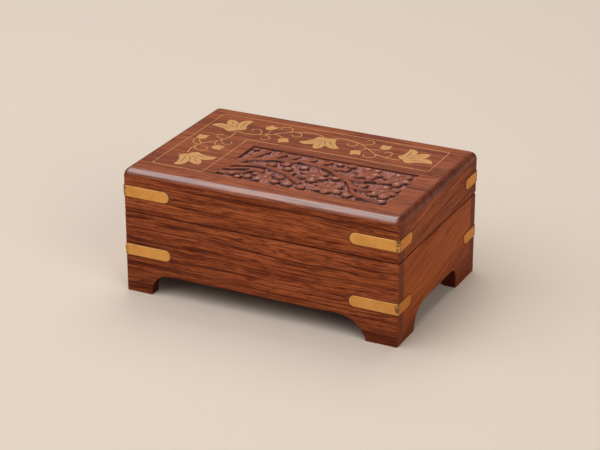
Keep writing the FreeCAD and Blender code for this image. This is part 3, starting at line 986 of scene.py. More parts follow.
def draw_curve(name: str, outlines: Sequence[Sequence[Knot]], cyclic: bool, steps: int) -> bpy.types.Object:
    """Draw a Bezier curve on the lid's plane.

    Args:
        name: Name of the curve.
        outlines: Knots of each spline.
        cyclic: Whether the splines close.
        steps: Segments from knot to knot.

    Returns:
        The curve object at the origin.
    """
    Bench.clear()
    bpy.ops.curve.primitive_bezier_curve_add()
    curve = bpy.context.object
    curve.name = name
    shape = curve.data
    shape.splines.clear()
    shape.resolution_u = steps
    for knots in outlines:
        spline = shape.splines.new("BEZIER")
        spline.bezier_points.add(len(knots) - 1)
        spline.use_cyclic_u = cyclic
        for point, knot in zip(spline.bezier_points, knots):
            point.handle_left_type = point.handle_right_type = "FREE"
            point.co = knot.place * MM
            point.handle_left = knot.back * MM
            point.handle_right = knot.ahead * MM
            point.radius = knot.weight
    return curve


def to_mesh(curve: bpy.types.Object, lift: float, smooth_degrees: float) -> bpy.types.Object:
    """Make a curve a mesh.

    Args:
        curve: The curve.
        lift: How far it is lifted, in millimetres.
        smooth_degrees: Angle below which edges are shaded smooth.

    Returns:
        The mesh, closed and with its place in it.
    """
    Bench.choose(curve)
    bpy.ops.object.convert(target="MESH")
    piece = bpy.context.object
    piece.location.z += lift * MM
    Bench.settle(piece)
    Bench.close(piece, smooth_degrees)
    return piece


def plate(name: str, outlines: Sequence[Sequence[Knot]], top: float, thickness: float,
          ease: float) -> bpy.types.Object:
    """Flat plate of given outlines.

    Args:
        name: Name of the piece.
        outlines: Closed outlines.
        top: Height of its top in millimetres.
        thickness: Its thickness.
        ease: Rounding of its edges.

    Returns:
        The plate as a mesh.
    """
    curve = draw_curve(name, outlines, True, PLATE_STEPS)
    shape = curve.data
    shape.dimensions = "2D"
    shape.fill_mode = "BOTH"
    shape.extrude = (thickness / 2 - ease) * MM
    shape.bevel_depth = ease * MM
    shape.bevel_resolution = 1
    shape.offset = -ease * MM
    return to_mesh(curve, top - thickness / 2, PLATE_SMOOTH_DEGREES)


def wire(name: str, strokes: Sequence[Sequence[Knot]], width: float, top: float, thickness: float,
         cyclic: bool = False) -> bpy.types.Object:
    """Flat strip laid along strokes.

    Args:
        name: Name of the piece.
        strokes: Lines that it follows.
        width: Width of the strip in millimetres.
        top: Height of its top.
        thickness: Its thickness.
        cyclic: Whether the strokes close.

    Returns:
        The strip as a mesh.
    """
    half, chamfer = width / 2, width / WIRE_CHAMFERS
    section = [(-half, -thickness), (half, -thickness), (half, -chamfer), (half - chamfer, 0.0),
               (chamfer - half, 0.0), (-half, -chamfer)]
    corners = [Vector((x, y, 0.0)) for x, y in section]
    profile = draw_curve(f"{name}_section", [[Knot(c, c, c) for c in corners]], True, 1)
    profile.data.dimensions = "2D"
    profile.data.fill_mode = "NONE"
    curve = draw_curve(name, strokes, cyclic, WIRE_STEPS)
    shape = curve.data
    shape.dimensions = "3D"
    shape.twist_mode = "Z_UP"
    shape.bevel_mode = "OBJECT"
    shape.bevel_object = profile
    shape.use_fill_caps = True
    piece = to_mesh(curve, top, WIRE_SMOOTH_DEGREES)
    bpy.data.objects.remove(profile)
    return piece


@dataclass
class CaseSizes:
    """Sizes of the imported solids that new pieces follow, in millimetres."""

    width: float = 152.4
    depth: float = 100.7
    panel_bottom: float = 64.5

    @property
    def half_width(self) -> float:
        """Half of the width."""
        return self.width / 2

    @property
    def half_depth(self) -> float:
        """Half of the depth."""
        return self.depth / 2


@dataclass
class WoodenCase:
    """Boards, rails and floor of the box, which keep their solids."""

    front_finish: SheeshamFinish
    lid_front_finish: SheeshamFinish
    side_finish: SheeshamFinish
    lid_side_finish: SheeshamFinish
    floor_finish: SheeshamFinish

    def dress(self, nodes: dict[str, bpy.types.Object]) -> None:
        """Give every board its wood.

        Args:
            nodes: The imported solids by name.
        """
        groups = {
            self.front_finish: ("front_board", "back_board"),
            self.lid_front_finish: ("lid_front_rail", "lid_back_rail"),
            self.side_finish: ("left_board", "right_board"),
            self.lid_side_finish: ("lid_left_rail", "lid_right_rail"),
            self.floor_finish: ("base_panel",),
        }
        for finish, names in groups.items():
            material = finish.material()
            for name in names:
                dress(nodes[name], material)
                log.info("%s dressed in %s", name, finish.name)


@dataclass
class LidPanel:
    """Top panel with its round-over and the pocket of the carved field."""

    case: CaseSizes
    finish: SheeshamFinish
    painted_pocket_shade: FillerFinish
    top: float = 68.25
    round_over: float = 3.74
    round_steps: int = 10
    corner_ease: float = 1.2
    corner_steps: int = 3
    longest_mitre_edge: float = 3.0
    smooth_degrees: float = 28.0
    pocket: tuple[float, float, float, float] = (-30.65, 62.7, -38.1, 5.4)
    pocket_depth: float = 1.75
    pocket_margin: float = 0.1

    def build(self) -> bpy.types.Object:
        """Model the panel from a block.

        Returns:
            The panel.
        """
        half_w, half_d = self.case.half_width, self.case.half_depth
        low, high = (-half_w, -half_d, self.case.panel_bottom), (half_w, half_d, self.top)
        piece = Bench.block("lid_panel", low, high)
        Bench.edit(piece, "EDGE")
        Bench.pick_edges(piece, lambda a, b: min(a.z, b.z) > self.top - TOUCH_MM)
        Bench.bevel(self.round_over, self.round_steps)

        def on_mitre(spot: Vector) -> bool:
            """Whether a place lies on the mitre of a corner."""
            return abs(half_w - abs(spot.x) - half_d + abs(spot.y)) < TOUCH_MM

        Bench.pick_edges(piece, lambda a, b: on_mitre(a) and on_mitre(b)
                         and (a - b).length < self.longest_mitre_edge)
        Bench.bevel(self.corner_ease, self.corner_steps)
        left, right, front, back = self.pocket
        for axis, place in ((0, left), (0, right), (1, front), (1, back)):
            spot, normal = [0.0, 0.0, 0.0], [0.0, 0.0, 0.0]
            spot[axis], normal[axis] = place * MM, 1.0
            bpy.ops.mesh.select_all(action="SELECT")
            bpy.ops.mesh.bisect(plane_co=spot, plane_no=normal, use_fill=False)
        bpy.ops.mesh.select_mode(type="FACE")
        Bench.pick_faces(piece, lambda middle, normal: normal.z > FACING and left < middle.x < right
                         and front < middle.y < back)
        Bench.extrude((0, 0, -self.pocket_depth))
        Bench.close(piece, self.smooth_degrees)
        return piece

    def install(self) -> None:
        """Build and dress the panel, with painted shade on the faces in the pocket."""
        piece = self.build()
        install(piece, self.finish.material(), Body.LID, ["lid_top_panel"])
        piece.data.materials.append(self.painted_pocket_shade.material())
        left, right, front, back = self.pocket
        room = self.pocket_margin
        # Painted shade: faces inside the pocket take the dark material.
        for face in piece.data.polygons:
            x, y, z = face.center / MM
            inside = left - room < x < right + room and front - room < y < back + room
            if inside and self.case.panel_bottom + room < z < self.top - room:
                face.material_index = 1


@dataclass(frozen=True)
class Fall:
    """How a carved form falls from its middle outwards, in millimetres."""

    rounding: float
    wall_from: float
    wall: float
    bulge: float = 1.5

    def at(self, reach: Grid) -> Grid:
        """Fall at a distance that is given as a share of the form's radius."""
        drop = np.clip(reach - self.wall_from, 0, None) ** self.bulge
        return self.rounding * reach ** 2 + self.wall * drop


@dataclass
class CarvedField:
    """Flowers, berries and stems carved in the pocket of the lid.

    Lengths are in millimetres. Flowers are the places of their hearts, and domes are the petals and berries,
    each with its place and radius. Stems and gouges are the lines that they follow.
    """

    panel: LidPanel
    finish: CarvedFinish
    pitch: float = 0.3
    rim_room: float = 0.02
    floor_room: float = 0.04
    relief: float = 0.2
    ground_depth: float = 1.45
    ground_marks: float = 0.16
    crown_marks: float = 0.08
    back_rise: float = 0.5
    back_band: Band = (1.0, 5.0)
    plateau_depth: float = 0.06
    plateau_edge: float = -10.5
    plateau_slant: float = 0.4
    plateau_band: Band = (0.0, 8.0)
    plateau_front: Band = (12.0, 15.0)
    stem_width: float = 2.6
    stem_fall: Fall = Fall(0.12, 0.65, 1.1)
    heart_radius: float = 5.4
    heart_depth: float = 0.85
    heart_fall: Fall = Fall(0.0, 0.8, 4.0)
    petal_reach: float = 8.0
    petal_stretch: float = 1.28
    petal_tuck: float = 0.5
    dome_fall: Fall = Fall(0.3, 0.84, 14.0)
    dome_lean: float = 0.2
    dome_growth: float = 1.02
    dome_limit: float = 1.2
    lean_towards: Point = (0.45, -0.89)
    wobbles: Sequence[Place] = ((3, 1, 0.07), (5, 2, 0.05))
    berry_turn: float = 2.4
    berry_stretch: float = 1.06
    berry_play: float = 0.08
    # Painted highlight on each dome: a soft light spot a little off its middle.
    glint_offset: Point = (-0.2, 0.3)
    glint_radius: float = 0.42
    glint_strength: float = 0.66
    glint_play: float = 0.34
    glint_pace: float = 1.7
    gouge_depth: float = 1.65
    gouge_tip: float = 0.35
    gouge_belly: float = 0.9
    gouge_fullness: float = 0.7
    gouge_ends: Band = (0.06, 0.9)
    gouge_entry: float = 0.4
    gouge_plunge: float = 5.0
    steepest: float = 2.2
    crevice_reach: float = 1.2
    crevice_depth: float = 0.7
    shift: Point = (0.3, -0.3)
    flowers: Line = ((38.3, -2.0), (54.2, -3.0), (54.0, -20.0), (27.4, -26.6), (14.2, -16.8),
                                (-6.6, -28.4))
    domes: Sequence[Place] = (
        (32.5, -1.5, 2.7), (42.5, -2.0, 2.7), (35.0, -6.5, 2.9), (40.6, -7.0, 2.9), (40.5, 3.6, 2.6),
        (35.0, 3.6, 2.5), (38.3, -2.0, 1.8), (58.0, 2.2, 2.6), (59.4, -3.8, 2.6), (56.2, -8.8, 2.9),
        (50.4, -8.0, 2.8), (48.4, -2.2, 2.6), (52.2, 2.4, 2.6), (54.2, -3.0, 1.8), (48.4, -19.4, 2.9),
        (50.4, -25.0, 2.9), (56.5, -26.0, 2.9), (59.2, -21.2, 2.7), (59.0, -15.4, 2.7), (53.0, -14.4, 2.6),
        (54.0, -20.0, 1.8), (22.5, -31.0, 2.9), (28.0, -32.4, 2.8), (33.2, -30.0, 2.9), (31.6, -23.8, 2.6),
        (22.2, -25.2, 2.6), (26.4, -21.2, 2.5), (27.4, -26.6, 1.8), (8.2, -14.0, 2.4), (9.6, -19.4, 2.8),
        (15.4, -22.0, 2.9), (19.6, -17.6, 2.8), (18.2, -12.0, 2.5), (12.8, -11.4, 2.4), (14.2, -16.6, 1.8),
        (-7.4, -23.6, 2.6), (0.0, -25.6, 2.6), (0.0, -31.6, 2.7), (-10.0, -32.4, 2.7), (-15.6, -31.4, 2.5),
        (-13.6, -26.0, 2.3), (-6.4, -28.6, 1.9), (6.6, -31.4, 3.1), (14.6, -32.4, 2.6), (-24.6, -31.0, 2.1),
        (-20.0, -33.6, 2.2), (-18.4, -24.6, 1.9), (-11.6, -11.4, 2.8), (-5.0, -8.4, 2.8), (5.4, -8.8, 2.8),
        (-1.5, -13.6, 2.7), (-12.4, 3.6, 2.7), (-5.0, 3.4, 2.8), (4.5, 3.5, 2.8), (13.6, 3.5, 2.8),
        (26.4, 3.8, 2.8), (25.0, -1.6, 2.6), (25.5, -14.6, 2.6), (41.6, -17.4, 2.9), (39.4, -32.0, 2.8),
        (58.0, -32.0, 2.9), (-26.0, -3.0, 2.3), (-28.2, 3.8, 2.3), (-21.6, 3.0, 2.4), (20.2, 3.0, 2.3),
        (46.6, -33.8, 1.5), (3.2, -18.0, 1.8))
    stems: Sequence[Line] = (
        ((-33, -14.6), (-25, -10.5), (-20, -8.2), (-15, -6.0), (-10, -5.0), (-5, -4.2), (0, -2.6),
         (5, -2.4), (10, -3.2), (15, -4.2), (20, -7.0), (25, -10.2), (30, -13.6), (35, -18.0), (38, -22.4),
         (40.4, -27.0), (44, -30.2), (50, -32.6), (56, -33.4)),
        ((-33, -20.6), (-25, -19.6), (-20, -17.4), (-14, -16.2), (-8, -16.7), (-3, -18.5), (2, -20.6),
         (6, -24.0), (11, -27.6)),
        ((-33, -27.0), (-27, -25.2), (-21, -22.6), (-16, -21.4), (-12, -22.0)),
        ((-33, -32.6), (-28, -31.4), (-24, -28.8), (-20, -27.6)),
        ((27, -10.4), (32, -12.0), (37, -12.6), (42, -12.0), (47, -10.0)),
        ((38.6, -21.6), (42, -22.6), (46, -22.8)),
        ((-26, -8), (-23.6, -3), (-21.6, 3)), ((-15, -5), (-13.4, 0), (-12.4, 3)),
        ((-8, -4), (-6, 0), (-5, 3.4)), ((1, -3), (3, 0), (4.5, 3.4)),
        ((9, -2.8), (11.4, 0), (13.6, 3.4)), ((16, -3.6), (21, -3), (25, -1.6)))
    gouges: Sequence[Line] = (
        ((-26, -17.6), (-20, -11.6), (-15, -8.4), (-10, -7.0), (-7, -6.9)),
        ((-29, -24.4), (-24, -21.4), (-18, -18.7), (-12, -18.2)), ((-11, -18.4), (-5, -20.6), (0.5, -23.0)),
        ((-31, -30.2), (-26, -27.4), (-22, -25.0), (-18.6, -23.6)),
        ((-31.6, -35.4), (-27, -33.6), (-25, -33.4)),
        ((-1, -4.4), (4, -4.9), (11, -6.6)), ((13, -5.8), (18, -8.4), (24, -12.4)),
        ((31.4, -16.6), (33.8, -21.6), (34.6, -25.6)), ((40.6, -13.6), (46, -11.8)),
        ((40, -23.8), (43, -26.6), (47, -29.6)), ((-4.4, -24.6), (-2.2, -29.0)),
        ((44, -32.6), (50, -35), (54, -35.6)))

    @staticmethod
    def line_distance(x: Grid, y: Grid, line: Line) -> tuple[Grid, Grid]:
        """Distance to a bent line and share of the way along it.

        Args:
            x: Grid of x.
            y: Grid of y.
            line: Points of the line.

        Returns:
            Distance and share, each a grid.
        """
        best = np.full(x.shape, np.inf)
        share = np.zeros(x.shape)
        count = len(line) - 1
        for index, ((ax, ay), (bx, by)) in enumerate(zip(line, line[1:])):
            dx, dy = bx - ax, by - ay
            along = np.clip(((x - ax) * dx + (y - ay) * dy) / (dx * dx + dy * dy), 0.0, 1.0)
            away = np.hypot(x - ax - along * dx, y - ay - along * dy)
            nearer = away < best
            best = np.where(nearer, away, best)
            share = np.where(nearer, (index + along) / count, share)
        return best, share

    @staticmethod
    def rounded_line(line: Line) -> list[Point]:
        """Cut the corners of a line twice, at a quarter of each leg, so that it bends smoothly.

        Args:
            line: Points of the line.

        Returns:
            Points of the smoother line.
        """
        for _ in range(2):
            cut = [line[0]]
            for (ax, ay), (bx, by) in zip(line, line[1:]):
                cut += [(0.75 * ax + 0.25 * bx, 0.75 * ay + 0.25 * by),
                        (0.25 * ax + 0.75 * bx, 0.25 * ay + 0.75 * by)]
            line = [*cut, line[-1]]
        return list(line)

    @staticmethod
    def slope(values: Grid, band: Band) -> Grid:
        """Even step from 0 where a band begins to 1 where it ends."""
        return np.clip((values - band[0]) / (band[1] - band[0]), 0, 1)

    @staticmethod
    def tool_marks(x: Grid, y: Grid) -> Grid:
        """Shallow waves that a gouge leaves, from -1 to 1."""
        return np.sin(x * 2.1 + 1.3 * np.sin(y * 1.7)) * np.sin(y * 1.2 + 1.1 * np.sin(x * 1.3))

    def ground(self, x: Grid, y: Grid, marks: Grid) -> Grid:
        """Height of the ground, which rises to a plateau at its front left and a little at the back.

        Args:
            x: Grid of x.
            y: Grid of y.
            marks: Grid of tool marks.

        Returns:
            Grid of heights.
        """
        rise = self.back_rise * self.slope(y, self.back_band)
        ground = self.ground_marks * marks - self.ground_depth + rise
        edge = self.plateau_edge + self.plateau_slant * y
        plateau = self.slope(edge - x, self.plateau_band) * self.slope(-y, self.plateau_front)
        plateau = plateau * plateau * (3 - 2 * plateau)
        return ground * (1 - plateau) - self.plateau_depth * plateau

    def dome(self, x: Grid, y: Grid, marks: Grid, index: int) -> tuple[Grid, Grid]:
        """One petal, drawn out from the heart of its flower, or one berry that stands alone.

        Args:
            x: Grid of x.
            y: Grid of y.
            marks: Grid of tool marks.
            index: Which of the domes.

        Returns:
            Grid of its heights, below the pocket where it doesn't reach, and grid of its painted highlight.
        """
        spot_x, spot_y, radius = self.domes[index]
        heart = min(self.flowers, key=lambda spot: math.dist(spot, (spot_x, spot_y)))
        turn = self.berry_turn * index
        stretch = self.berry_stretch + self.berry_play * math.sin(turn)
        if math.dist(heart, (spot_x, spot_y)) < self.petal_reach:
            turn, stretch = math.atan2(spot_y - heart[1], spot_x - heart[0]), self.petal_stretch
            spot_x -= self.petal_tuck * math.cos(turn)
            spot_y -= self.petal_tuck * math.sin(turn)
        over, up = x - spot_x, y - spot_y
        along = over * math.cos(turn) + up * math.sin(turn)
        aside = up * math.cos(turn) - over * math.sin(turn)
        bearing = np.arctan2(aside, along)
        wobble = 1 + sum(size * np.sin(lobes * bearing + start * index)
                         for lobes, start, size in self.wobbles)
        reach = np.hypot(along / stretch, aside) / (radius * self.dome_growth * wobble)
        near = (over * self.lean_towards[0] + up * self.lean_towards[1]) / radius
        lean = self.dome_lean * (near - 1)
        crown = self.crown_marks * marks - self.relief + lean - self.dome_fall.at(reach)
        # Painted highlight spot of this dome.
        away = np.hypot(over - self.glint_offset[0], up - self.glint_offset[1])
        spot_glint = self.glint_strength + self.glint_play * math.sin(index * self.glint_pace)
        below = -2 * self.panel.pocket_depth
        return (np.where(reach < self.dome_limit, crown, below),
                spot_glint * np.exp(-away ** 2 / (self.glint_radius * radius) ** 2))

    def gouge(self, x: Grid, y: Grid, line: Line) -> tuple[Grid, Grid]:
        """One gouge cut, narrow where it enters and widest near its middle.

        Args:
            x: Grid of x.
            y: Grid of y.
            line: Line that the gouge follows.

        Returns:
            Grid of the distance as a share of the cut's half width, and grid of the cut's heights.
        """
        away, share = self.line_distance(x, y, self.rounded_line(line))
        belly = np.sin(math.pi * np.clip(share, *self.gouge_ends)) ** self.gouge_fullness
        reach = away / (self.gouge_tip + self.gouge_belly * belly)
        entry = np.minimum(1, share * self.gouge_plunge + self.gouge_entry)
        return reach, -self.gouge_depth * entry * (1 - reach ** 2)

    def heights(self, x: Grid, y: Grid) -> tuple[Grid, Grid]:
        """Height of the carving below the lid's top, in millimetres, and painted highlight on its crowns.

        Args:
            x: Grid of x.
            y: Grid of y.

        Returns:
            Grid of heights, zero at the top and negative below it, and grid of painted highlight from 0 to
            1.
        """
        x, y = x - self.shift[0], y - self.shift[1]
        marks = self.tool_marks(x, y)
        height = self.ground(x, y, marks)
        painted_highlight = np.zeros(x.shape)
        for line in self.stems:
            away, _ = self.line_distance(x, y, self.rounded_line(line))
            height = np.maximum(height, -self.relief - self.stem_fall.at(away / (self.stem_width / 2)))
        for heart_x, heart_y in self.flowers:
            fall = self.heart_fall.at(np.hypot(x - heart_x, y - heart_y) / self.heart_radius)
            height = np.maximum(height, self.crown_marks * marks - self.heart_depth - fall)
        for index in range(len(self.domes)):
            crown, spot_glint = self.dome(x, y, marks, index)
            painted_highlight = np.where(crown > height, spot_glint, painted_highlight)
            height = np.maximum(height, crown)
        for line in self.gouges:
            reach, cut = self.gouge(x, y, line)
            height = np.where(reach < 1, np.minimum(height, cut), height)
        return np.maximum(height, self.floor_room - self.panel.pocket_depth), painted_highlight

    def crevices(self, table: Grid) -> Grid:
        """How far each point lies below what stands round it.

        Args:
            table: Heights on the grid, in millimetres.

        Returns:
            Grid from 0 in the open to 1 in a narrow cut.
        """
        reach = round(self.crevice_reach / self.pitch)
        padded = np.pad(table, reach, mode="edge")
        rows, columns = table.shape
        ring = [padded[reach + down:reach + down + rows, reach + over:reach + over + columns]
                for down in (-reach, 0, reach) for over in (-reach, 0, reach) if down or over]
        return np.clip((np.mean(ring, axis=0) - table) / self.crevice_depth, 0, 1)

    def carve(self, mesh: bpy.types.Mesh, rows: int, columns: int) -> None:
        """Lower a flat grid to the carving and note what the finish reads.

        Args:
            mesh: The grid.
            rows: Points from front to back.
            columns: Points from left to right.
        """
        places = np.empty(len(mesh.vertices) * 3)
        mesh.vertices.foreach_get("co", places)
        places = places.reshape(-1, 3)
        height, painted_highlight = self.heights(places[:, 0] / MM, places[:, 1] / MM)
        table = height.reshape(rows, columns)
        steep = np.hypot(*np.gradient(table, self.pitch)).ravel()
        places[:, 2] = (self.panel.top + height) * MM
        mesh.vertices.foreach_set("co", places.ravel())
        notes = {"steep": np.clip(steep / self.steepest, 0, 1), "crevice": self.crevices(table).ravel(),
                 "deep": np.clip(-height / self.ground_depth, 0, 1), "painted_highlight": painted_highlight}
        for name, values in notes.items():
            layer = mesh.attributes.new(name, "FLOAT", "POINT")
            layer.data.foreach_set("value", values.astype(np.float32))

    def build(self) -> bpy.types.Object:
        """Model the carving as a slab in the pocket.

        Returns:
            The slab, with attributes for steepness, crevices, depth and painted highlight.
        """
        left, right, front, back = self.panel.pocket
        left, front = left + self.rim_room, front + self.rim_room
        right, back = right - self.rim_room, back - self.rim_room
        floor = self.panel.top - self.panel.pocket_depth
        middle = ((left + right) / 2, (front + back) / 2, self.panel.top)
        columns, rows = round((right - left) / self.pitch), round((back - front) / self.pitch)
        piece = Bench.grid("carved_field", middle, (right - left, back - front), (columns, rows))
        self.carve(piece.data, rows + 1, columns + 1)
        Bench.edit(piece, "EDGE")
        bpy.ops.mesh.select_non_manifold(extend=False)
        Bench.extrude((0, 0, -TOUCH_MM))
        work = bmesh.from_edit_mesh(piece.data)
        for vertex in work.verts:
            if vertex.select:
                vertex.co.z = floor * MM
        bmesh.update_edit_mesh(piece.data)
        bpy.ops.mesh.edge_face_add()
        Bench.close(piece)
        return piece

    def install(self) -> None:
        """Build and dress the carving."""
        install(self.build(), self.finish.material(), Body.LID, [])


@dataclass
class BrassInlay:
    """Border, flowers, buds and vines let into the lid."""

    finish: BrassFinish
    filler: FillerFinish
    top: float = 68.285
    thickness: float = 0.7
    ease: float = 0.05
    filler_top: float = 68.262
    filler_room: float = 0.16
    border_width: float = 0.38
    border_corner: float = 0.9
    border_curl: float = 0.405
    border_handle: float = 0.5
    vine_width: float = 0.66
    tendril_taper: float = 0.3
    line_top: float = 68.298
    line_width: float = 0.4
    line_depth: float = 0.2
    line_ease: float = 0.01
    border: Line = ((-66.6, -37.65), (-37.5, -37.65), (-37.5, 12.1), (64.8, 12.1), (64.8, 40.8),
                               (-66.6, 40.8))
    flower_side: Line = ((0.4, 0), (-0.4, 2.4), (0.3, 5.1), (3.5, 6.0), (7.2, 8.1), (10.6, 11.6))
    flower_inner: Line = ((10.6, 11.6), (12.6, 8.6), (11.4, 4.6), (9.4, 2.7))
    flower_middle: Line = ((9.4, 2.7), (12.8, 2.8), (15.3, 1.5), (16.5, 0))
    flower_lines: Sequence[Line] = (
        ((3.4, 0.5), (6.2, 1.1), (9.6, 2.8)), ((3.0, 2.4), (6.3, 4.5), (9.8, 8.2)),
        ((3.4, -0.5), (6.2, -1.1), (9.6, -2.8)), ((3.0, -2.4), (6.3, -4.5), (9.8, -8.2)),
        ((8.0, 0), (11.0, 0.1), (13.8, 0)))
    flowers: dict[str, Place] = field(default_factory=lambda: {
        "corner": (-49.0, 21.5, 129), "front": (-56.0, -19.0, -42), "back": (-0.5, 32.0, -90),
        "right": (46.6, 20.9, 51)})
    bud_base: Line = ((0, 0), (0.9, 1.9), (2.1, 2.9))
    bud_side: Line = ((2.1, 2.9), (4.2, 2.7), (6.5, 2.85))
    bud_notch: Line = ((6.5, 2.85), (6.0, 1.3), (5.8, 0))
    buds: Sequence[Place] = (
        (-35.2, 29.4, 68), (-22.0, 22.0, -60), (19.8, 23.0, -72), (32.3, 29.7, 93), (-60.9, 2.0, 91),
        (-49.6, -4.6, -4))
    vines: dict[str, Sequence[Line]] = field(default_factory=lambda: {
        "left": (
            ((-48.8, 20.6), (-47.7, 15), (-47.9, 10), (-49.2, 6.3), (-52.6, 1.3), (-56.6, -3.6),
             (-58.2, -11.5), (-57.0, -17.6)),
            ((-48.9, 7.1), (-51.6, 7.6), (-54.5, 9.6), (-53.8, 12.7), (-52.0, 12.1)),
            ((-49.2, 6.3), (-48.2, 3.2), (-45.2, 0.8), (-42.5, 2.4), (-44.4, 5.5)),
            ((-50.4, 4.3), (-50.8, 1.4), (-49.0, -2.1)),
            ((-56.4, -3.3), (-58.8, -1.4), (-60.3, 1.6)),
            ((-57.3, -5.4), (-59.4, -4.8), (-62.3, -2.3), (-62.9, 1.0)),
            ((-57.7, -7.6), (-56.6, -10.5), (-53.4, -12.4), (-50.2, -10.4), (-53.1, -6.7))),
        "back": (
            ((-48.2, 20.9), (-44.0, 19.6), (-37.6, 20.0), (-30.7, 23.4), (-25.4, 28.4), (-20.3, 32.1),
             (-11.0, 34.9), (-3.6, 33.2)),
            ((-35.4, 20.8), (-36.2, 25.2), (-39.2, 27.9), (-41.6, 26.4), (-41.1, 24.3)),
            ((-33.4, 21.8), (-32.1, 24.6), (-32.6, 28.4)),
            ((-33.6, 21.7), (-29.5, 20.6), (-28.0, 17.6), (-30.4, 15.5), (-32.6, 17.4)),
            ((-28.6, 25.1), (-25.8, 24.5), (-22.6, 22.3)),
            ((-22.9, 30.6), (-22.2, 34.4), (-26.2, 37.6), (-28.8, 35.2), (-28.3, 33.0)),
            ((-19.0, 32.6), (-15.6, 31.2), (-14.6, 28.0), (-17.0, 26.2), (-19.7, 28.9))),
        "right": (
            ((2.6, 33.2), (8.0, 34.4), (14.0, 33.6), (19.4, 31.4), (24.3, 27.4), (29.8, 23.0), (35.0, 20.8),
             (39.6, 19.6), (45.9, 20.3)),
            ((15.2, 33.2), (17.1, 30.2), (15.0, 27.0), (12.4, 28.3), (12.1, 30.2)),
            ((19.6, 31.3), (23.4, 33.6), (24.2, 36.6), (20.9, 38.5), (19.5, 37.0)),
            ((22.0, 29.4), (23.2, 26.6), (21.2, 23.4)),
            ((24.4, 27.3), (27.6, 27.6), (31.9, 29.2)),
            ((30.9, 22.3), (32.1, 18.8), (29.0, 15.8), (26.5, 17.2), (26.1, 19.4)),
            ((37.6, 20.2), (39.1, 23.8), (37.0, 27.9), (34.9, 27.0), (35.2, 25.4)))})

    @staticmethod
    def set_down(place: Place, points: Iterable[Point]) -> list[Vector]:
        """A motif's points, turned and moved to its place on the lid."""
        turn = Matrix.Rotation(math.radians(place[2]), 3, "Z")
        return [turn @ Vector((u, v, 0.0)) + Vector((place[0], place[1], 0.0)) for u, v in points]

    def mirrored(self, place: Place, runs: Sequence[Line]) -> list[Knot]:
        """Outline of a motif from the runs of one side.

        Args:
            place: Where the motif lies and its heading.
            runs: Runs of one side, from its base to its tip.

        Returns:
            Knots of the closed outline.
        """
        back_again = [[(u, -v) for u, v in reversed(run)] for run in reversed(runs)]
        return closed_knots([self.set_down(place, run) for run in [*runs, *back_again]])

    def lens(self, points: Sequence[Vector]) -> list[Knot]:
        """Outline of a graver's line, pointed at both ends.

        Args:
            points: The line's two ends with a point between them.

        Returns:
            Knots of the closed outline.
        """
        start, middle, end = points
        turn = headings(points)[1]
        aside = Vector((-turn.y, turn.x, 0.0)) * (self.line_width / 2)
        return closed_knots([[start, middle + aside, end], [end, middle - aside, start]])

    def vine_knots(self, strokes: Sequence[Line]) -> list[list[Knot]]:
        """Knots of a vine, its tendrils thinning towards their ends.

        Args:
            strokes: The stem and then its tendrils.

        Returns:
            Knots of each stroke.
        """
        lines = []
        for index, stroke in enumerate(strokes):
            knots = run_knots([Vector((x, y, 0.0)) for x, y in stroke])
            if index:
                for step, knot in enumerate(knots):
                    knot.weight = 1.0 - self.tendril_taper * step / (len(knots) - 1)
            lines.append(knots)
        return lines

    def border_knots(self) -> list[Knot]:
        """Draw the border line with its small round corners.

        Returns:
            Knots of the closed line.
        """
        corners = [Vector((x, y, 0.0)) for x, y in self.border]
        knots = []
        for index, here in enumerate(corners):
            back = (corners[index - 1] - here).normalized()
            ahead = (corners[(index + 1) % len(corners)] - here).normalized()
            entry, leave = here + back * self.border_corner, here + ahead * self.border_corner
            knots.append(Knot(entry, entry + back * self.border_handle, here + back * self.border_curl))
            knots.append(Knot(leave, here + ahead * self.border_curl, leave + ahead * self.border_handle))
        return knots

    def install(self) -> None:
        """Build and dress every inlaid piece, the lac round it and the engraved lines."""
        brass, lac = self.finish.material(), self.filler.material()

        def let_in(piece: bpy.types.Object, node: str) -> None:
            """Dress a brass piece that stands for one solid."""
            install(piece, brass, Body.LID, [node])

        knots = [self.border_knots()]
        border = wire("inlay_border_line", knots, self.border_width, self.top, self.thickness, True)
        let_in(border, "inlay_border")
        outlines, lines, strokes = [], [], []
        for name, place in self.flowers.items():
            outline = self.mirrored(place, (self.flower_side, self.flower_inner, self.flower_middle))
            flower = plate(f"flower_{name}", [outline], self.top, self.thickness, self.ease)
            let_in(flower, f"inlay_flower_{name}")
            outlines.append(outline)
            lines += [self.lens(self.set_down(place, line)) for line in self.flower_lines]
        bud_runs = (self.bud_base, self.bud_side, self.bud_notch)
        bud_outlines = [self.mirrored(place, bud_runs) for place in self.buds]
        let_in(plate("buds", bud_outlines, self.top, self.thickness, self.ease), "inlay_buds")
        for name, drawn in self.vines.items():
            knots = self.vine_knots(drawn)
            vine = wire(f"vine_{name}", knots, self.vine_width, self.top, self.thickness)
            let_in(vine, f"inlay_vine_{name}")
            strokes += knots
        outlines += bud_outlines
        top, depth = self.filler_top, self.thickness
        joint_width, vine_room = 2 * self.filler_room, self.vine_width + self.filler_room / 2
        for filled in (wire("lac_round_flowers", outlines, joint_width, top, depth, True),
                       wire("lac_round_vines", strokes, vine_room, top, depth),
                       plate("engraved_lines", lines, self.line_top, self.line_depth, self.line_ease)):
            install(filled, lac, Body.LID, [])


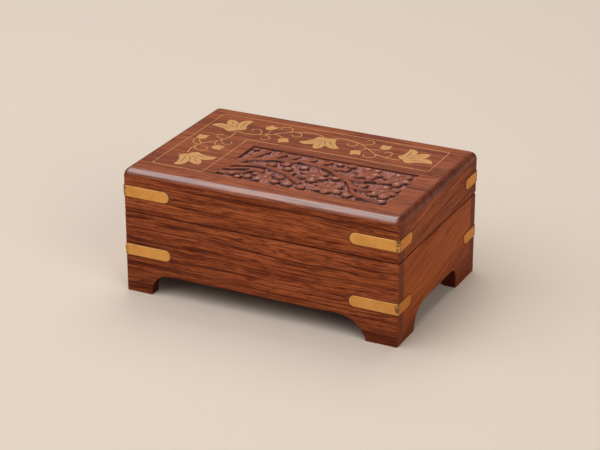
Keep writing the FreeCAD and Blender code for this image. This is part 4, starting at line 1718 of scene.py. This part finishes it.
@dataclass
class CornerStraps:
    """Brass straps bent round the corners, with their brads and dark sheets of painted shadow in the gaps
    round them.
    """

    case: CaseSizes
    finish: BrassFinish
    painted_gap_shadow: FillerFinish
    width: float = 6.0
    thickness: float = 0.95
    proud: float = 0.36
    long_arm: float = 26.5
    short_arm: float = 15.5
    shortest_end: float = 0.5
    end_flat: float = 0.02
    end_steps: int = 10
    bend: float = 0.8
    bend_steps: int = 4
    ease: float = 0.18
    ease_steps: int = 2
    smooth_degrees: float = 35.0
    eased_degrees: float = 50.0
    # Room and height of the dark sheet of painted shadow round each strap.
    gap: float = 0.22
    gap_proud: float = 0.03
    brad_radius: float = 0.7
    brad_crown: float = 0.75
    brad_height: float = 0.1
    brad_sides: int = 16
    brad_ease: float = 0.05
    brad_ease_steps: int = 2
    brad_from_corner: float = 4.8
    brad_from_end: float = 3.0
    heights: dict[Body, dict[str, float]] = field(default_factory=lambda: {
        Body.LID: {"front_left": 55.825, "front_right": 54.025, "back_left": 55.025, "back_right": 54.225},
        Body.CASE: {"front_left": 23.6, "front_right": 20.5, "back_left": 23.0, "back_right": 23.6}})

    def build_strap(self, proud: float, room: float) -> bpy.types.Object:
        """Model one strap, or the dark sheet of painted shadow in the gap round it, at the front right
        corner, at height zero.

        Args:
            proud: How far it stands out of the wood.
            room: How much larger it is than the strap, on each edge.

        Returns:
            The strap.
        """
        x, y = self.case.half_width + proud, -self.case.half_depth - proud
        half = self.width / 2 + room
        piece = Bench.block("strap_pattern", (x - self.thickness, y, -half), (x, y + self.thickness, half))
        Bench.edit(piece, "FACE")
        Bench.pick_faces(piece, lambda middle, normal: normal.x < -FACING)
        Bench.extrude((self.thickness - self.long_arm - room, 0, 0))
        Bench.pick_faces(piece, lambda middle, normal: normal.y > FACING and middle.x > x - self.thickness)
        Bench.extrude((0, self.short_arm - self.thickness + room, 0))
        bpy.ops.mesh.select_mode(type="EDGE")
        end_x = x - self.long_arm - room + TOUCH_MM
        end_y = y + self.short_arm + room - TOUCH_MM
        Bench.pick_edges(piece, lambda a, b: max(a.x, b.x) < end_x and abs(a.y - b.y) > self.shortest_end)
        Bench.bevel(half - self.end_flat, self.end_steps)
        Bench.pick_edges(piece, lambda a, b: min(a.y, b.y) > end_y and abs(a.x - b.x) > self.shortest_end)
        Bench.bevel(half - self.end_flat, self.end_steps)
        Bench.pick_edges(piece, lambda a, b: min(a.x, b.x) > x - TOUCH_MM and max(a.y, b.y) < y + TOUCH_MM)
        Bench.bevel(self.bend, self.bend_steps)
        Bench.close(piece, self.smooth_degrees)
        if not room:
            Bench.soften(piece, self.ease, self.ease_steps)
            Bench.close(piece, self.eased_degrees)
        return piece

    def build_brad(self) -> bpy.types.Object:
        """Model one brad head at the origin, its crown towards +Z.

        Returns:
            The brad head.
        """
        Bench.clear()
        radius, height = self.brad_radius * MM, self.brad_height * MM
        bpy.ops.mesh.primitive_cone_add(vertices=self.brad_sides, radius1=radius,
                                        radius2=radius * self.brad_crown, depth=height,
                                        location=(0, 0, height / 2))
        piece = bpy.context.object
        Bench.settle(piece)
        Bench.edit(piece, "EDGE")
        Bench.pick_edges(piece, lambda a, b: min(a.z, b.z) > self.brad_height - TOUCH_MM)
        Bench.bevel(self.brad_ease, self.brad_ease_steps)
        Bench.close(piece)
        return piece

    def brad_places(self, height: float) -> list[Matrix]:
        """Find where the brads of a front right strap sit.

        Args:
            height: Height of the strap's middle.

        Returns:
            Changes of a brad at the origin.
        """
        x, y = self.case.half_width + self.proud, -self.case.half_depth - self.proud
        front, side = (Matrix.Rotation(math.radians(90), 4, axis) for axis in "XY")
        spots = [((x - self.brad_from_corner, y, height), front),
                 ((x - self.long_arm + self.brad_from_end, y, height), front),
                 ((x, y + self.brad_from_corner, height), side),
                 ((x, y + self.short_arm - self.brad_from_end, height), side)]
        return [Matrix.Translation(Vector(spot) * MM) @ turn for spot, turn in spots]

    def install(self) -> None:
        """Copy the strap, its brads and its sheet of painted shadow to all corners and dress them."""
        strap = self.build_strap(self.proud, 0.0)
        gap = self.build_strap(self.gap_proud, self.gap)
        brad = self.build_brad()
        brass, shade = self.finish.material(), self.painted_gap_shadow.material()
        for body, heights in self.heights.items():
            brads, gaps = [], []
            for corner, height in heights.items():
                across, along = (-1 if "left" in corner else 1), (-1 if "back" in corner else 1)
                mirror = Matrix.Diagonal((across, along, 1, 1))
                change = mirror @ Matrix.Translation((0, 0, height * MM))
                piece = Bench.twin(strap, f"strap_{body.value}_{corner}", change)
                install(piece, brass, body, [f"{body.value}_strap_{corner}"])
                gaps.append(Bench.twin(gap, f"gap_{corner}", change))
                brads += [Bench.twin(brad, f"brad_{corner}", mirror @ place)
                          for place in self.brad_places(height)]
            joined = Bench.join(brads, f"brads_{body.value}")
            install(joined, brass, body, [f"{body.value}_strap_brads"])
            install(Bench.join(gaps, f"strap_gap_shadows_{body.value}"), shade, body, [])
        for pattern in (strap, gap, brad):
            bpy.data.objects.remove(pattern)


@dataclass
class Hinges:
    """Butt hinges, which keep their solids."""

    finish: BrassFinish

    def dress(self, nodes: dict[str, bpy.types.Object]) -> None:
        """Give leaves, pins and brads their brass.

        Args:
            nodes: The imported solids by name.
        """
        material = self.finish.material()
        for name, node in nodes.items():
            if "hinge" in name:
                dress(node, material)
                log.info("%s dressed in %s", name, self.finish.name)


@dataclass
class Lining:
    """Velvet laid on the floor of the case."""

    finish: VelvetFinish
    size: Point = (138.6, 86.9)
    cells: tuple[int, int] = (70, 44)
    floor: float = 16.5
    lift: float = 0.12
    wave: float = 0.1
    thickness: float = 0.7

    @staticmethod
    def unevenness(x: float, y: float) -> float:
        """Long low waves of the cloth, from -1 to 1."""
        return math.sin(x * 0.11 + math.sin(y * 0.07)) * math.sin(y * 0.13 + 0.6)

    def build(self) -> bpy.types.Object:
        """Model the cloth as a soft sheet.

        Returns:
            The cloth.
        """
        middle = (0.0, 0.0, self.floor + self.lift)
        piece = Bench.grid("velvet_lining", middle, self.size, self.cells)
        for vertex in piece.data.vertices:
            vertex.co.z += self.wave * MM * self.unevenness(vertex.co.x / MM, vertex.co.y / MM)
        body = piece.modifiers.new("body", "SOLIDIFY")
        body.thickness = self.thickness * MM
        body.offset = 1.0
        Bench.choose(piece)
        bpy.ops.object.modifier_apply(modifier=body.name)
        Bench.close(piece)
        return piece

    def install(self) -> None:
        piece = self.build()
        install(piece, self.finish.material(), Body.CASE, ["base_lining"])


@dataclass(frozen=True)
class SoftLamp:
    """A square lamp that faces the box: where it hangs and its side in metres, its power and its colour."""

    name: str
    place: Place
    side: float
    energy: float
    colour: Colour


@dataclass
class Studio:
    """Floor, light and camera."""

    floor_finish: FloorFinish
    floor_side: float = 12.0
    target: Place = (-0.4, -1.7, 31.85)
    azimuth: float = 26.03
    elevation: float = 23.56
    distance: float = 1034.9
    lens: float = 119.9
    sensor: float = 36.0
    clip_start: float = 0.01
    world: Colour = (1.0, 0.98, 0.96)
    world_strength: float = 0.11
    lit_height: float = 0.03
    lamps: Sequence[SoftLamp] = (
        SoftLamp("key_above", (-0.65, -0.6, 1.45), 2.3, 28.0, (0.94, 0.96, 1.0)),
        SoftLamp("fill_front", (1.7, -1.0, 1.2), 1.4, 16.0, (1.0, 0.96, 0.92)),
        SoftLamp("back_above", (-0.2, 0.85, 1.5), 1.2, 10.5, (1.0, 0.98, 0.96)))

    def floor(self) -> None:
        """Lay the floor."""
        Bench.clear()
        bpy.ops.mesh.primitive_plane_add(size=self.floor_side, location=(0, 0, 0))
        floor = bpy.context.object
        floor.name = "floor"
        dress(floor, self.floor_finish.material())

    def hang(self, lamp: SoftLamp) -> None:
        """Hang one lamp.

        Args:
            lamp: The lamp.
        """
        data = bpy.data.lights.new(lamp.name, "AREA")
        data.size, data.energy, data.color = lamp.side, lamp.energy, lamp.colour
        light = bpy.data.objects.new(lamp.name, data)
        light.location = lamp.place
        towards = Vector((0, 0, self.lit_height)) - Vector(lamp.place)
        light.rotation_euler = towards.to_track_quat("-Z", "Y").to_euler()
        bpy.context.scene.collection.objects.link(light)

    def camera(self) -> None:
        """Set up the camera of the photograph."""
        turn, rise = math.radians(self.azimuth), math.radians(self.elevation)
        away = Vector((math.sin(turn) * math.cos(rise), -math.cos(turn) * math.cos(rise), math.sin(rise)))
        data = bpy.data.cameras.new("camera")
        data.lens, data.sensor_width, data.clip_start = self.lens, self.sensor, self.clip_start
        camera = bpy.data.objects.new("camera", data)
        camera.location = (Vector(self.target) + away * self.distance) * MM
        camera.rotation_euler = (-away).to_track_quat("-Z", "Y").to_euler()
        bpy.context.scene.collection.objects.link(camera)
        bpy.context.scene.camera = camera

    def install(self) -> None:
        """Set the whole stage."""
        self.floor()
        world = bpy.data.worlds.new("studio")
        world.use_nodes = True
        background = world.node_tree.nodes["Background"]
        background.inputs["Color"].default_value = (*self.world, 1.0)
        background.inputs["Strength"].default_value = self.world_strength
        bpy.context.scene.world = world
        for lamp in self.lamps:
            self.hang(lamp)
        self.camera()
        bpy.context.scene.view_settings.view_transform = "Standard"


def boards_of(tones: WoodTones) -> WoodenCase:
    """Choose the wood of every board.

    Args:
        tones: Colours of the timber that most boards are cut from.

    Returns:
        The boards with their finishes.
    """
    side_tones = WoodTones(light=(0.47, 0.118, 0.029), warm=(0.28, 0.057, 0.015),
                           dark=(0.085, 0.015, 0.008), end=(0.20, 0.045, 0.018))
    width, depth = Grain.ALONG_WIDTH, Grain.ALONG_DEPTH
    ends = (76.1, 76.15)
    return WoodenCase(
        SheeshamFinish("sheesham_front", width, tones, (0.0, 0.0, 0.0), ends=ends),
        SheeshamFinish("sheesham_lid_front", width, tones, (4.0, 2.0, 7.0), ends=ends),
        SheeshamFinish("sheesham_side", depth, side_tones, (9.0, 1.0, 3.0), tilt=-8.0, streaking=0.3,
                       gloss=0.02),
        SheeshamFinish("sheesham_lid_side", depth, tones, (2.0, 8.0, 5.0), tilt=-5.0, streaking=0.36,
                       gloss=0.02),
        SheeshamFinish("sheesham_floor", width, tones, (6.0, 6.0, 1.0)))


def main() -> None:
    """Build the visual model piece by piece."""
    logging.basicConfig(level=logging.INFO, format="%(name)s: %(message)s")
    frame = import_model()
    case = CaseSizes()
    tones = WoodTones(light=(0.45, 0.118, 0.039), warm=(0.185, 0.037, 0.013), dark=(0.072, 0.013, 0.007),
                      end=(0.21, 0.047, 0.018))
    boards_of(tones).dress(frame["nodes"])
    panel_wood = SheeshamFinish("sheesham_panel", Grain.ALONG_WIDTH, tones, (3.0, 5.0, 0.0), streaking=0.5,
                                ends=(72.5, 75.0), end_streaking=0.9, roughness=0.4, gloss=0.22,
                                polished_up_to=(67.8, 68.2))
    panel = LidPanel(case, panel_wood, FillerFinish("pocket_shade", tone=(0.10, 0.028, 0.019)))
    panel.install()
    # Carved wood: the crown colour is painted highlight, the ground is lightened pink as painted sheen, and
    # the wall colour is also painted shade.
    carved_wood = CarvedFinish("carved_sheesham", top=(0.34, 0.086, 0.034), crown=(0.88, 0.58, 0.53),
                               ground=(0.42, 0.150, 0.115), wall=(0.042, 0.009, 0.006))
    CarvedField(panel, carved_wood).install()
    # Dark lac of the inlay's joints and engraved lines, also used as painted shadow round the straps.
    lac = FillerFinish("dark_lac_and_gap_shadow", tone=(0.035, 0.014, 0.01))
    inlay_brass = BrassFinish("inlay_brass", bright=(0.80, 0.41, 0.150), dull=(0.69, 0.335, 0.112),
                              spots=0.15, roughness=0.42, metal=0.45)
    BrassInlay(inlay_brass, lac).install()
    strap_brass = BrassFinish("strap_brass", bright=(0.80, 0.41, 0.115), dull=(0.66, 0.31, 0.080),
                              spots=0.55, roughness=0.36, bent_round_corners=True)
    CornerStraps(case, strap_brass, lac).install()
    Hinges(strap_brass).dress(frame["nodes"])
    Lining(VelvetFinish("red_velvet", tone=(0.22, 0.012, 0.018), shade=(0.10, 0.005, 0.008))).install()
    Studio(FloorFinish("pale_floor", tone=(0.76, 0.65, 0.54))).install()


if __name__ == "__main__":
    main()
